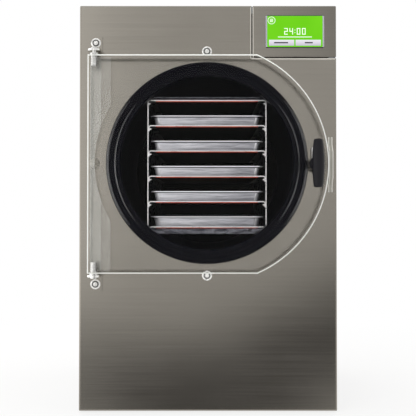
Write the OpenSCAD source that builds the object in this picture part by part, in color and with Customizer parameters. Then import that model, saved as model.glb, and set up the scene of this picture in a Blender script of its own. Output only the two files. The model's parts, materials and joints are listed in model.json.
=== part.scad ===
// Upright home freeze dryer: a folded sheet steel cabinet round a horizontal vacuum drum, with a thick
// clear pivoting door, a five-tray heated shelf rack, and the refrigeration and electrical parts below
// and behind. Millimetres. +Z is up, the front faces -Y, and the origin is on the floor at the centre
// of the overall box.

/* [Cabinet] */
// Width of the cabinet
cab_w = 514; // [510:1:640]
// Depth from the front panel's face to the back panel's face
cab_d = 610; // [605:1:760]
// Height from the floor to the top
cab_h = 812; // [800:1:1000]
// Thickness of the folded sheet panels
sheet = 1.5; // [1:0.1:2]
// Inside radius of the folded edges
bend_in = 1.5; // [0.5:0.5:3]
// Depth of the panels' return lips
flange = 18; // [14:1:22]
// Gap between neighbouring panels
seam = 1.5; // [0.5:0.5:3]
// Height of the rubber feet
foot_h = 14; // [10:1:30]
// Height of the panels' lower edges above the floor
skirt_gap = 3; // [2:1:8]
// Thickness of the angle frame inside the panels
frame_t = 2; // [1.5:0.5:3]

/* [Vacuum drum] */
// Height of the drum's axis above the floor
drum_z = 496; // [480:1:560]
// Distance of the drum's axis from the cabinet's middle
drum_x = -2; // [-6:1:4]
// Inside diameter of the drum
drum_id = 352; // [290:1:360]
// Wall of the drum
drum_wall = 3; // [2:0.5:4]
// Depth of the drum from the front panel's face to the start of its domed back
drum_depth = 540; // [440:1:545]
// Depth of the domed back
dome_depth = 28; // [20:1:30]
// Width of the ring that seats the drum on the front panel
ring_w = 22; // [16:1:26]
// Thickness of that ring
ring_t = 4; // [3:0.5:8]
// Distance that the drum's rim stands out of the front panel
rim_out = 11.5; // [8:0.5:15]
// Diameter of the evaporator tube wound round the drum
coil_d = 9.5; // [6:0.5:12]
// Turns of the evaporator tube
coil_turns = 10; // [6:1:12]
// Thickness of the foam jacket
foam_t = 24; // [15:1:30]

/* [Gasket and door] */
// Distance that the gasket stands out of the front panel
gasket_t = 20; // [18:1:30]
// Width of the gasket outside the drum's wall
gasket_out = 21.5; // [16:0.5:24]
// Width of the gasket inside the drum's wall
gasket_in = 4.5; // [3:0.5:8]
// Thickness of the clear door
door_t = 25; // [20:1:32]
// Overlap of the door past the gasket on its round side
door_round_margin = 34; // [30:1:36]
// Overlap of the door past the gasket on its hinge side
door_hinge_margin = 39; // [32:1:42]
// Overlap of the door past the gasket above and below
door_flat_margin = 14.5; // [8:0.5:20]
// Drop of the door's middle below the drum's axis
door_drop = 3; // [0:1:6]
// Distance of the hinge axis from the door's edge
pivot_inset = 12.5; // [11:0.5:16]
// Radius of the hinge pins
pin_r = 4; // [3:0.5:5]

/* [Latch] */
// Length of the grip
grip_len = 94; // [70:1:112]
// Radius of the grip at its middle
grip_r = 12; // [10:0.5:14]
// Radius of the grip at its ends
grip_end_r = 8.3; // [6:0.1:9]
// Length of the stem between the hub and the grip
stem_len = 16; // [12:1:24]
// Distance of the spindle from the door's round edge
spindle_inset = 25; // [20:1:27]
// Radius of the spindle
spindle_r = 6; // [5:0.5:7]
// Height of the strike
strike_h = 110; // [90:1:130]

/* [Rack and trays] */
// Number of shelves
shelf_count = 6; // [3:1:6]
// Distance between shelves
shelf_pitch = 50.8; // [42:0.2:51]
// Greatest width of the rack, which narrows to fit the drum
rack_w = 239; // [190:1:250]
// Length of the rack
rack_len = 526; // [430:1:530]
// Thickness of the shelves and of the rack's sides
shelf_t = 2; // [1.5:0.5:3]
// Thickness of the heater mats
mat_t = 1.6; // [1:0.2:3]
// Length of the trays
tray_len = 508; // [410:1:510]
// Depth of the trays
tray_h = 20; // [14:1:26]
// Thickness of the trays' sheet
tray_t = 1; // [0.8:0.1:1.5]

/* [Controls] */
// Width of the corner fascia
fascia_w = 168; // [150:1:190]
// Height of the corner fascia
fascia_h = 104; // [90:1:104]
// Width of the display's frame
screen_w = 117; // [100:1:130]
// Height of the display's frame
screen_h = 65; // [54:1:72]

/* [Cooling and services] */
// Radius of the cooling fan
fan_r = 88; // [70:1:92]
// Number of fan blades
blade_count = 5; // [3:1:7]
// Number of condenser fins
fin_count = 24; // [12:1:30]
// Distance that the fittings stand out of the cabinet's sides
side_reach = 46; // [44:1:50]

/* [Hidden] */
$fn = 96;

// Fits
slip = 0.2;          // between pieces that slide together by hand
running = 0.06;      // radial, between a pin and its bush
seal_gap = 0.3;      // between the gasket and the closed door
over = 1;            // how far a cutter runs past the piece that it cuts

// The overall box is centred on the origin, from the latch's grip to the fan guard
hub_t = 3;
washer_gap = 0.3;
guard_out = 8;
front_reach = gasket_t + seal_gap + door_t + hub_t + washer_gap + stem_len + 2 * grip_r;
front_y = -(cab_d + guard_out - front_reach) / 2;
back_y = front_y + cab_d;
mid_y = (front_y + back_y) / 2;
side_x = cab_w / 2;

// Panels and frame
bend_r = bend_in + sheet;
lip_end = flange + seam;                  // where the wrap starts behind the front panel
frame_leg = lip_end + 24;                 // reaches behind the seam, and carries the wrap's edge
frame_edge = 14;
floor_z = foot_h + frame_t + sheet;       // top of the base pan
pan_lip = 22;
inner_x = side_x - sheet - frame_t;       // inside the frame

// Drum and what lies round it
drum_r = drum_id / 2;
drum_or = drum_r + drum_wall;
ring_r = drum_or + ring_w;
ring_out = -sheet - ring_t;
screw_r = gasket_out + drum_or + 23.5;    // radius of the circle that the drum's four screws lie on
coil_steps = 24;
coil_r = (drum_or + coil_d / 2 + slip) / cos(180 / coil_steps);
foam_ir = coil_r + coil_d / 2 + 2 * slip;
foam_or = foam_ir + foam_t;
foam_end = drum_depth + dome_depth;

// Gasket and door
gasket_or = drum_or + gasket_out;
gasket_ir = drum_r - gasket_in;
panel_hole_r = drum_or + 2;
door_x = drum_x + 5;
door_z = drum_z - door_drop;
door_r = gasket_or + door_round_margin;
door_left = door_x - gasket_or - door_hinge_margin;
door_right = door_x + door_r;
door_half = gasket_or + door_flat_margin;
door_back = gasket_t + seal_gap;          // these are distances out of the front panel
door_front = door_back + door_t;
pivot_x = door_left + pivot_inset;
pivot_out = door_back + door_t / 2;

// Hinge brackets
bracket_w = 26;
bracket_t = 4;
bracket_tall = 36;
bush_gap_top = 8;
bush_gap_bottom = 3;
bush_r = pin_r + 2.5;
bush_collar_r = bush_r + 2.5;
bush_depth = 22;
screw_head_r = 10;
screw_head_h = 4;

// Latch
spindle_x = door_right - spindle_inset;
strike_t = 2.5;
strike_x = door_right + 2.5;
strike_w = 8.5;
strike_out = gasket_t - 0.5;
strike_foot = 14;
finger_t = 5;
finger_w = 14;
finger_front = strike_out - strike_t - 1;
finger_reach = strike_x + strike_w + 1 - spindle_x;
hub_r = 14;
latch_bush_r = spindle_r + 3;
grip_out = door_front + hub_t + washer_gap + stem_len + grip_r;

// Rack: its sides' lower corners rest on the drum
shelf_top = (shelf_count - 1) * shelf_pitch / 2 + 0.5;
rack_drop = 2.5;                          // how far the sides reach below the lowest shelf's face
side_bottom = shelf_pitch * (shelf_count - 1) - shelf_top + rack_drop;
rack_half = min(rack_w / 2, sqrt(pow(drum_r, 2) - pow(side_bottom, 2)));
side_low = -sqrt(pow(drum_r, 2) - pow(rack_half, 2));
rack_clear_r = drum_r - 1.2;              // nothing else in the rack comes nearer to the drum
rack_front = 12;                          // the rack's front edge, behind the front panel's face
shelf_half = rack_half - shelf_t;
shelf_bend = 5;
shelf_drop = 12;
mat_half = shelf_half - 15;
tray_rim_half = shelf_half - 4;
rim_w = 6;
tray_half = tray_rim_half - rim_w;
tray_taper = 4;
tray_front = rack_front + 6;
tray_corner = 12;
pad_top_t = 6.5;
pad_low_t = 12;

// Fan and condenser
fan_x = -40;
shroud_half = fan_r + 14;
fan_z = foot_h + frame_t + pan_lip + shroud_half + 1;
condenser_w = 2 * shroud_half;
condenser_d = 44;
condenser_y = back_y - 150;
fin_t = 0.8;

// Services
service_y = front_y + drum_depth - 60;
port_z = drum_z - 40;
drain_z = drum_z - foam_or - 20;
drain_tube_r = 8;
socket_x = 160;
inlet_z = 110;
outlet_z = 180;
switch_z = 250;

// Compressor
comp_x = -78;
comp_y = front_y + 190;
comp_r = 80;
comp_h = 176;
grommet_h = 12;

// ---- Places: local XY is the view of that face, and local Z points out of it ----

module at_front(out = 0) {
    translate([0, front_y - out, 0]) rotate([90, 0, 0]) children();
}

module at_back(out = 0) {
    translate([0, back_y + out, 0]) rotate([90, 0, 180]) children();
}

module at_drum(out = 0) {
    at_front(out) translate([drum_x, drum_z, 0]) children();
}

module at_spindle(out = 0) {
    at_front(out) translate([spindle_x, door_z, 0]) children();
}

// ---- Shared shapes ----

module rounded_rect(w, h, r) {
    square([w - 2 * r, h], center = true);
    square([w, h - 2 * r], center = true);
    for (x = [-1, 1], y = [-1, 1]) {
        translate([x * (w / 2 - r), y * (h / 2 - r)]) circle(r);
    }
}

// A block whose twelve edges are all rounded
module rounded_block(w, d, h, r) {
    intersection() {
        linear_extrude(h, center = true) rounded_rect(w, d, r);
        rotate([90, 0, 0]) linear_extrude(d, center = true) rounded_rect(w, h, r);
        rotate([90, 0, 90]) linear_extrude(w, center = true) rounded_rect(d, h, r);
    }
}

module ring(outer, inner, h) {
    difference() {
        cylinder(r = outer, h = h);
        translate([0, 0, -over]) cylinder(r = inner, h = h + 2 * over);
    }
}

// Half of a cylinder's profile for rotate_extrude, from the axis out, with both corners rounded
module turned_bar(r, h, edge) {
    square([r - edge, h]);
    translate([0, edge]) square([r, h - 2 * edge]);
    for (y = [edge, h - edge]) {
        translate([r - edge, y]) circle(edge);
    }
}

function unit(v) = v / norm(v);

// A point between p[i] and p[i + 1] on the smooth curve through all of p
function between(p, i, t) =
    let (a = p[max(i - 1, 0)], b = p[i], c = p[i + 1], d = p[min(i + 2, len(p) - 1)])
    0.5 * (2 * b + (c - a) * t + (2 * a - 5 * b + 4 * c - d) * t * t
        + (3 * b - a - 3 * c + d) * t * t * t);

function smooth(p, steps) =
    concat([for (i = [0 : len(p) - 2], k = [0 : steps - 1]) between(p, i, k / steps)], [p[len(p) - 1]]);

// A tube along a list of points; lean is any direction that the path never takes
module pipe(path, r, sides = 8, lean = [0.41, 0.33, 0.85]) {
    last = len(path) - 1;
    points = [
        for (i = [0 : last])
            let (along = unit(path[min(i + 1, last)] - path[max(i - 1, 0)]),
                 u = unit(cross(along, lean)),
                 v = cross(along, u))
            for (k = [0 : sides - 1])
                path[i] + r * (cos(360 * k / sides) * u + sin(360 * k / sides) * v)
    ];
    walls = [
        for (i = [0 : last - 1], k = [0 : sides - 1])
            let (a = i * sides + k, b = i * sides + (k + 1) % sides)
            each [[a, a + sides, b], [b, a + sides, b + sides]]
    ];
    ends = [
        [for (k = [0 : sides - 1]) k],
        [for (k = [sides - 1 : -1 : 0]) last * sides + k]
    ];
    polyhedron(points, concat(walls, ends));
}

// ---- Cabinet ----

module cabinet_block(inset, bottom, r) {
    h = cab_h - inset - bottom;
    translate([0, mid_y, bottom + h / 2]) rounded_block(cab_w - 2 * inset, cab_d - 2 * inset, h, r);
}

// The part of the folded sheet skin between two depths behind the front panel's face
module skin(from, to) {
    intersection() {
        difference() {
            cabinet_block(0, skirt_gap, bend_r);
            cabinet_block(sheet, skirt_gap + sheet, bend_in);
        }
        translate([-cab_w, front_y + from, 0]) cube([2 * cab_w, to - from, cab_h + over]);
    }
}

fascia_x = side_x - fascia_w / 2;
fascia_z = cab_h - fascia_h / 2;
notch_x = side_x - fascia_w - seam;
notch_z = cab_h - fascia_h - seam;

// The two lips folded back along the corner that is cut out for the fascia
module notch_lips() {
    translate([notch_x - sheet, front_y, notch_z - sheet]) cube([sheet, flange, fascia_h + seam]);
    translate([notch_x - sheet, front_y, notch_z - sheet])
        cube([side_x - notch_x - bend_in, flange, sheet]);
}

// Takes the sharp front edge off the notch's two folds
module notch_bends() {
    r = bend_r;
    difference() {
        translate([notch_x - r, front_y - over, notch_z - r]) cube([r + over, r + over, cab_h]);
        translate([notch_x - r, front_y + r, 0]) cylinder(r = r, h = cab_h + over);
    }
    difference() {
        translate([notch_x - r, front_y - over, notch_z - r]) cube([cab_w, r + over, r + over]);
        translate([0, front_y + r, notch_z - r]) rotate([0, 90, 0]) cylinder(r = r, h = cab_w);
    }
}

function screw_spots() = concat(
    [for (a = [0 : 90 : 270]) [drum_x + screw_r * cos(a), drum_z + screw_r * sin(a)]],
    [[pivot_x, bracket_screw_z(1)], [pivot_x, bracket_screw_z(-1)]]);

function tab_z(up) = door_z + up * (door_half + (up > 0 ? bush_gap_top : bush_gap_bottom));
function bracket_screw_z(up) = tab_z(up) + up * (bracket_t + bracket_tall) / 2;

screw_hole_r = 2.6;

module front_panel() {
    color("#96938b") difference() {
        union() {
            difference() {
                skin(0, flange);
                translate([notch_x, front_y - over, notch_z]) cube([cab_w, flange + 2 * over, cab_h]);
            }
            notch_lips();
        }
        notch_bends();
        frame_shape();
        at_drum(-flange) cylinder(r = panel_hole_r, h = flange + over);
        for (p = screw_spots()) {
            at_front(-flange) translate([p.x, p.y, 0]) cylinder(r = screw_hole_r, h = flange + over);
        }
    }
}

screen_x = fascia_x + 1;
screen_z = fascia_z;

module control_fascia() {
    color("#96938b") difference() {
        translate([fascia_x, front_y + flange, fascia_z]) difference() {
            rounded_block(fascia_w, 2 * flange, fascia_h, bend_r);
            rounded_block(fascia_w - 2 * sheet, 2 * (flange - sheet), fascia_h - 2 * sheet, bend_in);
            translate([0, flange, 0]) cube([cab_w, 2 * flange, cab_h], center = true);
        }
        frame_shape();
        at_front(-flange) translate([screen_x, screen_z, 0]) linear_extrude(flange + over)
            rounded_rect(hole_w, hole_h, 2);
    }
}

slot_rows = 9;
slot_pitch = 17;
slot_len = 110;
slot_h = 6;
slots_back = 150;                         // from the front panel to the middle of the slots
slots_up = 50;                            // from the base pan to the lowest slot

// Rows of air slots low on both sides
module side_slots() {
    for (i = [0 : slot_rows - 1]) {
        translate([-cab_w, front_y + slots_back, floor_z + slots_up + i * slot_pitch]) rotate([90, 0, 90])
            linear_extrude(2 * cab_w) rounded_rect(slot_len, slot_h, slot_h / 2 - 0.1);
    }
}

module cabinet_wrap() {
    color("#8f8c84") difference() {
        skin(lip_end, cab_d - lip_end);
        cube([2 * (side_x - sheet - bend_in), 2 * cab_d, 4 * skirt_gap + 4 * sheet], center = true);
        side_slots();
        translate([0, service_y, port_z]) rotate([0, 90, 0]) cylinder(r = port_r + slip, h = cab_w);
        translate([0, service_y, drain_z]) rotate([0, -90, 0]) cylinder(r = drain_tube_r + slip, h = cab_w);
    }
}

fan_hole_r = fan_r + 3;
vent_rows = 5;
vent_w = 180;
vent_h = 5;
vent_pitch = 12;
vents_down = 60;                          // from the top to the highest vent

// Slots that let air out of the space above the drum
module top_vents() {
    for (i = [0 : vent_rows - 1]) {
        translate([0, cab_h - vents_down - i * vent_pitch, 0]) linear_extrude(3 * flange, center = true)
            rounded_rect(vent_w, vent_h, vent_h / 2 - 0.1);
    }
}

module back_panel() {
    color("#8f8c84") difference() {
        skin(cab_d - flange, cab_d);
        at_back(-flange) translate([-fan_x, fan_z, 0]) cylinder(r = fan_hole_r, h = flange + over);
        at_back() top_vents();
        for (z = [inlet_z, outlet_z]) {
            at_back(-flange) translate([-socket_x, z, 0]) linear_extrude(flange + over)
                rounded_rect(socket_body_w, socket_body_h, 2);
        }
        at_back(-flange) translate([-socket_x, switch_z, 0]) linear_extrude(flange + over)
            rounded_rect(switch_w, switch_l, 1);
    }
}

// Openings through a hollow block leave an angle section along each of the twelve edges
module frame_shape() {
    h = cab_h - sheet - foot_h;
    mid = [0, mid_y, foot_h + h / 2];
    wide = cab_w - 2 * (sheet + frame_edge);
    tall = h - 2 * frame_edge;
    deep = cab_d - 2 * (sheet + frame_leg);
    difference() {
        cabinet_block(sheet, foot_h, bend_in);
        translate(mid) cube([2 * inner_x, cab_d - 2 * (sheet + frame_t), h - 2 * frame_t], center = true);
        translate(mid) cube([wide, 2 * cab_d, tall], center = true);
        translate(mid) cube([2 * cab_w, deep, tall], center = true);
        translate(mid) cube([wide, deep, 2 * cab_h], center = true);
    }
}

module chassis_frame() {
    color("#6d7073") difference() {
        frame_shape();
        foot_bolts(foot_h - over, 2 * frame_t + over);
    }
}

foot_r = 19;
foot_x = side_x - 34;
foot_y = cab_d / 2 - flange - foot_r - 1;
stud_r = 4;

module foot_bolts(z, h) {
    for (x = [-1, 1], y = [-1, 1]) {
        translate([x * foot_x, mid_y + y * foot_y, z]) cylinder(r = stud_r, h = h);
    }
}

module base_pan() {
    w = 2 * inner_x;
    d = cab_d - 2 * (sheet + frame_t);
    z = foot_h + frame_t;
    color("#75787b") difference() {
        translate([-w / 2, mid_y - d / 2, z]) cube([w, d, pan_lip]);
        translate([-w / 2 + sheet, mid_y - d / 2 + sheet, z + sheet])
            cube([w - 2 * sheet, d - 2 * sheet, pan_lip]);
        foot_bolts(z - over, sheet + 2 * over);
    }
}

// Turned rubber feet, each with its stud through the frame and the pan
module feet() {
    color("#1c1c1e") for (x = [-1, 1], y = [-1, 1]) {
        translate([x * foot_x, mid_y + y * foot_y, 0]) {
            rotate_extrude() {
                difference() {
                    union() {
                        translate([0, 2]) square([foot_r, foot_h - 2]);
                        square([foot_r - 2, 4]);
                        translate([foot_r - 2, 2]) circle(2);
                    }
                    translate([foot_r, foot_h]) circle(3);
                }
            }
            translate([0, 0, foot_h - over]) cylinder(r = stud_r, h = over + frame_t + sheet + 6);
            translate([0, 0, floor_z]) cylinder(r = 8, h = 5, $fn = 6);
        }
    }
}

// ---- Vacuum drum ----

// Half of the drum's outside, in by a wall: a straight barrel with a shallow domed back
module drum_solid(r, rise, front) {
    bow = (r * r + rise * rise) / (2 * rise);
    translate([0, -drum_depth]) square([r, drum_depth + front]);
    intersection() {
        translate([0, bow - drum_depth - rise]) circle(bow, $fn = 360);
        translate([0, -drum_depth - rise]) square([r, rise + over]);
    }
}

port_bore_r = 12;
port_r = 14;
ear_w = 36;
ear_end = 12;                             // how far an ear reaches past its screw

module vacuum_drum() {
    color("#b9bbbd") difference() {
        at_drum() {
            rotate_extrude() difference() {
                union() {
                    drum_solid(drum_or, dome_depth, rim_out);
                    translate([0, ring_out]) square([ring_r, ring_t]);
                }
                drum_solid(drum_r, dome_depth - drum_wall, rim_out + over);
            }
            for (a = [0 : 90 : 270]) {
                rotate([0, 0, a]) translate([0, 0, ring_out]) linear_extrude(ring_t) difference() {
                    translate([drum_or - drum_wall / 2, -ear_w / 2])
                        square([screw_r + ear_end - drum_or, ear_w]);
                    translate([screw_r, 0]) circle(screw_hole_r);
                }
            }
        }
        at_port(0) cylinder(r = port_r, h = cab_w);
        at_drain() cylinder(r = drain_tube_r, h = drum_z);
    }
}

// The two pipe stubs of the drum: local Z runs outwards
module at_port(from) {
    translate([drum_x + from, service_y, port_z]) rotate([0, 90, 0]) children();
}

module at_drain() {
    translate([drum_x, service_y, drum_z]) rotate([180, 0, 0]) children();
}

lip_r = 3;
shoulder_r = 7;

// A soft ring with a groove that grips the drum's rim, and a shallow trough between its two lips
module door_gasket() {
    color("#222428") at_drum() rotate_extrude() difference() {
        union() {
            translate([gasket_ir, 0]) square([gasket_or - gasket_ir, gasket_t - shoulder_r]);
            translate([gasket_ir + lip_r, 0])
                square([gasket_or - gasket_ir - lip_r - shoulder_r, gasket_t]);
            translate([gasket_ir, 0]) square([lip_r, gasket_t - lip_r]);
            translate([gasket_ir + lip_r, gasket_t - lip_r]) circle(lip_r);
            translate([gasket_or - shoulder_r, gasket_t - shoulder_r]) circle(shoulder_r);
        }
        translate([drum_r, -over]) square([drum_wall, rim_out + over]);
        translate([(gasket_ir + gasket_or) / 2 - 1, gasket_t + 5]) circle(7);
    }
}

line_hole_r = 7;
coil_start = 45;
coil_end = drum_depth - 110;

module foam_jacket() {
    color("#d9cfa6") difference() {
        at_drum() rotate_extrude() difference() {
            translate([0, -foam_end - foam_t / 3]) square([foam_or, foam_end + foam_t / 3 + ring_out]);
            drum_solid(foam_ir, dome_depth, over);
        }
        at_port(0) cylinder(r = port_r, h = cab_w);
        at_drain() cylinder(r = drain_tube_r, h = drum_z);
        for (y = [coil_start, coil_end]) {
            translate([drum_x, front_y + y, 0]) cylinder(r = line_hole_r, h = drum_z);
        }
    }
}

// A helix of tube wound on the drum, as far as the foam jacket covers it
module evaporator_coil() {
    turns = coil_turns;
    steps = turns * coil_steps;
    run = coil_end - coil_start;
    path = [
        for (i = [0 : steps])
            let (a = 360 * i / coil_steps - 90)
            [drum_x + coil_r * cos(a), front_y + coil_start + run * i / steps, drum_z + coil_r * sin(a)]
    ];
    color("#b87345") pipe(path, coil_d / 2, sides = 6, lean = [0, 1, 0]);
}

cradle_t = 3;
cradle_half = 218;
cradle_horn = 120;
cradle_beam = 18;
cradle_leg = 40;
cradle_foot = 26;
cradle_places = [front_y + 108, back_y - 168];

// Two folded saddles that carry the drum through its foam jacket
module drum_cradles() {
    color("#75787b") for (y = cradle_places) {
        translate([0, y, 0]) rotate([90, 0, 0]) {
            linear_extrude(cradle_t) difference() {
                translate([-cradle_half, floor_z])
                    square([2 * cradle_half, drum_z - cradle_horn - floor_z]);
                translate([drum_x, drum_z]) circle(foam_or);
                translate([-cradle_half + cradle_leg, floor_z - over])
                    square([2 * (cradle_half - cradle_leg),
                            drum_z - foam_or - cradle_beam - floor_z + over]);
            }
            for (x = [-cradle_half, cradle_half - cradle_leg]) {
                translate([x, floor_z, 0]) cube([cradle_leg, cradle_t, cradle_foot]);
            }
        }
    }
}

// ---- Rack, in the drum's front view ----

function shelf_face(i) = shelf_top - (i - 1) * shelf_pitch;

// Extrudes a front view of a rack piece backwards
module rack_run(front, len) {
    at_drum(-front - len) linear_extrude(len) children();
}

// A flat shelf with both edges folded down
module shelf_section(half, drop) {
    inner = shelf_bend - shelf_t;
    difference() {
        union() {
            translate([-half, -drop]) square([2 * half, drop - shelf_bend]);
            translate([shelf_bend - half, -drop]) square([2 * (half - shelf_bend), drop]);
            for (s = [-1, 1]) translate([s * (half - shelf_bend), -shelf_bend]) circle(shelf_bend);
        }
        translate([shelf_t - half, -drop - over]) square([2 * (half - shelf_t), drop + over - shelf_bend]);
        translate([shelf_bend - half, -drop - over])
            square([2 * (half - shelf_bend), drop + over - shelf_t]);
        for (s = [-1, 1]) translate([s * (half - shelf_bend), -shelf_bend]) circle(inner);
    }
}

// The top shelf is as wide as the rack, and its folds run on into the sides
module shelf(i) {
    color("#c9c9cc") rack_run(rack_front, rack_len) intersection() {
        translate([0, shelf_face(i)]) shelf_section(i == 1 ? rack_half : shelf_half, shelf_drop);
        circle(rack_clear_r);
    }
}

module rack_side(x) {
    top = shelf_face(1) - shelf_drop;
    color("#c9c9cc") rack_run(rack_front, rack_len)
        translate([x, side_low]) square([shelf_t, top - side_low]);
}

module rack_side_left() {
    rack_side(-rack_half);
}

module rack_side_right() {
    rack_side(shelf_half);
}

module heater_mats() {
    color("#b8392b") for (i = [1 : shelf_count]) {
        rack_run(rack_front + 3, rack_len - 30) translate([-mat_half, shelf_face(i) - shelf_t - mat_t])
            square([2 * mat_half, mat_t]);
    }
}

module foil_pad_top() {
    color("#8c8c93") rack_run(rack_front + 2, rack_len - 10) intersection() {
        translate([-shelf_half + 4, shelf_top]) square([2 * shelf_half - 8, pad_top_t]);
        circle(rack_clear_r);
    }
}

// Tucked between the lowest shelf's folds, and cut to the drum's round
module foil_pad_bottom() {
    y = shelf_face(shelf_count) - shelf_t - mat_t;
    half = shelf_half - shelf_t - 1;
    color("#8c8c93") rack_run(rack_front + 2, rack_len - 10) intersection() {
        translate([-half, y - pad_low_t]) square([2 * half, pad_low_t]);
        circle(rack_clear_r - 2);
    }
}

// The tray's outside, or its inside when it is in by a wall
module tray_wedge(wall, low, high) {
    body_len = tray_len - 2 * rim_w;
    slice = 0.1;
    hull() {
        for (end = [0, 1]) {
            narrow = wall + tray_taper * (1 - end);
            translate([0, 0, end == 0 ? low : high - slice]) linear_extrude(slice)
                rounded_rect(2 * (tray_half - narrow), body_len - 2 * narrow, tray_corner - wall, $fn = 24);
        }
    }
}

// A shallow pan with tapered walls, round corners and a flat rim
module tray(i) {
    mid = front_y + tray_front + tray_len / 2;
    color("#a9a8b2") translate([drum_x, mid, drum_z + shelf_face(i + 1)]) difference() {
        union() {
            tray_wedge(0, 0, tray_h);
            translate([0, 0, tray_h - 2 * tray_t]) linear_extrude(2 * tray_t)
                rounded_rect(2 * tray_rim_half, tray_len, tray_corner + rim_w);
        }
        tray_wedge(tray_t, tray_t, tray_h + tray_t);
    }
}

// ---- Refrigeration ----

comp_edge = 32;
comp_foot = 188;
grommet_place = 74;
stub_r = 5;
stub_h = 26;

// A hermetic compressor: a welded can with round shoulders on a four-legged plate
comp_box = [34, 48, 34];                  // the cover of its relay and terminals
comp_box_in = 12;

module compressor() {
    color("#1e1f21") translate([comp_x, comp_y, floor_z + grommet_h]) {
        difference() {
            translate([0, 0, 1.5]) linear_extrude(3, center = true) rounded_rect(comp_foot, comp_foot, 20);
            for (x = [-1, 1], y = [-1, 1]) {
                translate([x * grommet_place, y * grommet_place, -over]) cylinder(r = 5, h = 6);
            }
        }
        translate([0, 0, 3]) rotate_extrude() {
            turned_bar(comp_r, comp_h, comp_edge);
            translate([0, comp_h * 0.55]) square([comp_r + 5, 4]);
        }
        translate([comp_r - comp_box_in, -comp_box.y / 2, comp_h * 0.62]) cube(comp_box);
        for (p = [comp_discharge, comp_suction]) {
            translate([p.x - comp_x, p.y - comp_y, comp_h - comp_edge])
                cylinder(r = stub_r, h = comp_edge + stub_h);
        }
    }
}

comp_top = floor_z + grommet_h + comp_h;
comp_discharge = [comp_x - 25, comp_y + 35];
comp_suction = [comp_x + 30, comp_y + 35];

module compressor_grommets() {
    color("#2a2a2c") for (x = [-1, 1], y = [-1, 1]) {
        translate([comp_x + x * grommet_place, comp_y + y * grommet_place, floor_z]) rotate_extrude()
            difference() {
                union() {
                    square([11, grommet_h]);
                    square([4.8, grommet_h + 5]);
                }
                translate([12.5, grommet_h / 2]) circle(3);
            }
    }
}

condenser_x = fan_x;
condenser_top = fan_z + shroud_half;
condenser_tube_r = 4;
tube_rows = 6;
tube_x = condenser_w / 2 - 6;

function tube_z(k) = floor_z + 18 + k * (condenser_top - floor_z - 36) / (tube_rows - 1);

// Fins threaded on tubes that run from side to side, with return bends outside the end plates
module condenser() {
    color("#9a9c9e") translate([condenser_x, condenser_y, 0]) {
        for (i = [0 : fin_count - 1]) {
            x = -tube_x + 8 + i * (2 * tube_x - 16) / (fin_count - 1);
            translate([x - fin_t / 2, -condenser_d / 2 + 3, floor_z + 3])
                cube([fin_t, condenser_d - 6, condenser_top - floor_z - 6]);
        }
        for (x = [-tube_x, tube_x - 1.5]) {
            translate([x, -condenser_d / 2, floor_z]) cube([1.5, condenser_d, condenser_top - floor_z]);
        }
        for (y = [-10, 10], k = [0 : tube_rows - 1]) {
            translate([-tube_x - 1, y, tube_z(k)]) rotate([0, 90, 0])
                cylinder(r = condenser_tube_r, h = 2 * tube_x + 2);
        }
        for (k = [0 : tube_rows - 1], s = [-1, 1]) {
            if (!(s < 0 && k == tube_rows - 1) && !(s > 0 && k == 0)) {
                translate([s * (tube_x + 1), 0, tube_z(k)]) rotate([0, 0, s > 0 ? -90 : 90])
                    rotate_extrude(angle = 180) translate([10, 0]) circle(condenser_tube_r);
            }
        }
    }
}

shroud_t = 1.5;
shroud_from = condenser_y + condenser_d / 2;
fan_y = back_y - 42;
collar_len = 22;

// A square duct from the condenser to the back panel, with a round collar for the fan
module fan_shroud() {
    len = back_y - sheet - shroud_from;
    color("#2b2c2e") translate([fan_x, shroud_from, fan_z]) rotate([-90, 0, 0]) {
        difference() {
            linear_extrude(len) square(2 * shroud_half, center = true);
            translate([0, 0, -over]) linear_extrude(len + 2 * over)
                square(2 * (shroud_half - shroud_t), center = true);
        }
        translate([0, 0, fan_y - shroud_from]) {
            difference() {
                linear_extrude(shroud_t) square(2 * shroud_half, center = true);
                translate([0, 0, -over]) cylinder(r = fan_r + 3, h = 4);
            }
            ring(fan_r + 3 + shroud_t, fan_r + 3, collar_len);
        }
    }
}

motor_r = 32;
motor_h = 28;
shaft_r = 4;
rotor_h = 26;
rotor_from = fan_y - 2;
motor_from = rotor_from - motor_h - 3;
blade_t = 2.2;
blade_twist = 34;

// The motor hangs in the duct on four arms
module fan_motor() {
    arm = 2 * (shroud_half - shroud_t);
    color("#3a3b3d") translate([fan_x, motor_from, fan_z]) rotate([-90, 0, 0]) difference() {
        union() {
            rotate_extrude() turned_bar(motor_r, motor_h, 5);
            for (a = [0, 90]) {
                rotate([0, 0, a]) translate([-arm / 2, -6, 4]) cube([arm, 12, 3]);
            }
        }
        translate([0, 0, 8]) cylinder(r = shaft_r + running, h = motor_h);
    }
}

// Pitched blades on a hollow hub, with the shaft that turns in the motor
module fan_rotor() {
    root = 22;
    color("#232426") translate([fan_x, rotor_from, fan_z]) rotate([-90, 0, 0]) {
        difference() {
            rotate_extrude() turned_bar(26, rotor_h, 4);
            translate([0, 0, -over]) cylinder(r = 21, h = rotor_h - 4);
        }
        translate([0, 0, -motor_h + 8]) cylinder(r = shaft_r, h = motor_h + rotor_h - 10);
        for (i = [0 : blade_count - 1]) {
            rotate([0, 0, i * 360 / blade_count]) translate([0, 0, 1])
                linear_extrude(rotor_h - 4, twist = blade_twist, slices = 6, $fn = 6)
                translate([root, -blade_t / 2]) square([fan_r - root, blade_t]);
        }
    }
}

wire_r = 1.75;
guard_rings = 6;
guard_outer = fan_hole_r + 6;

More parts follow.
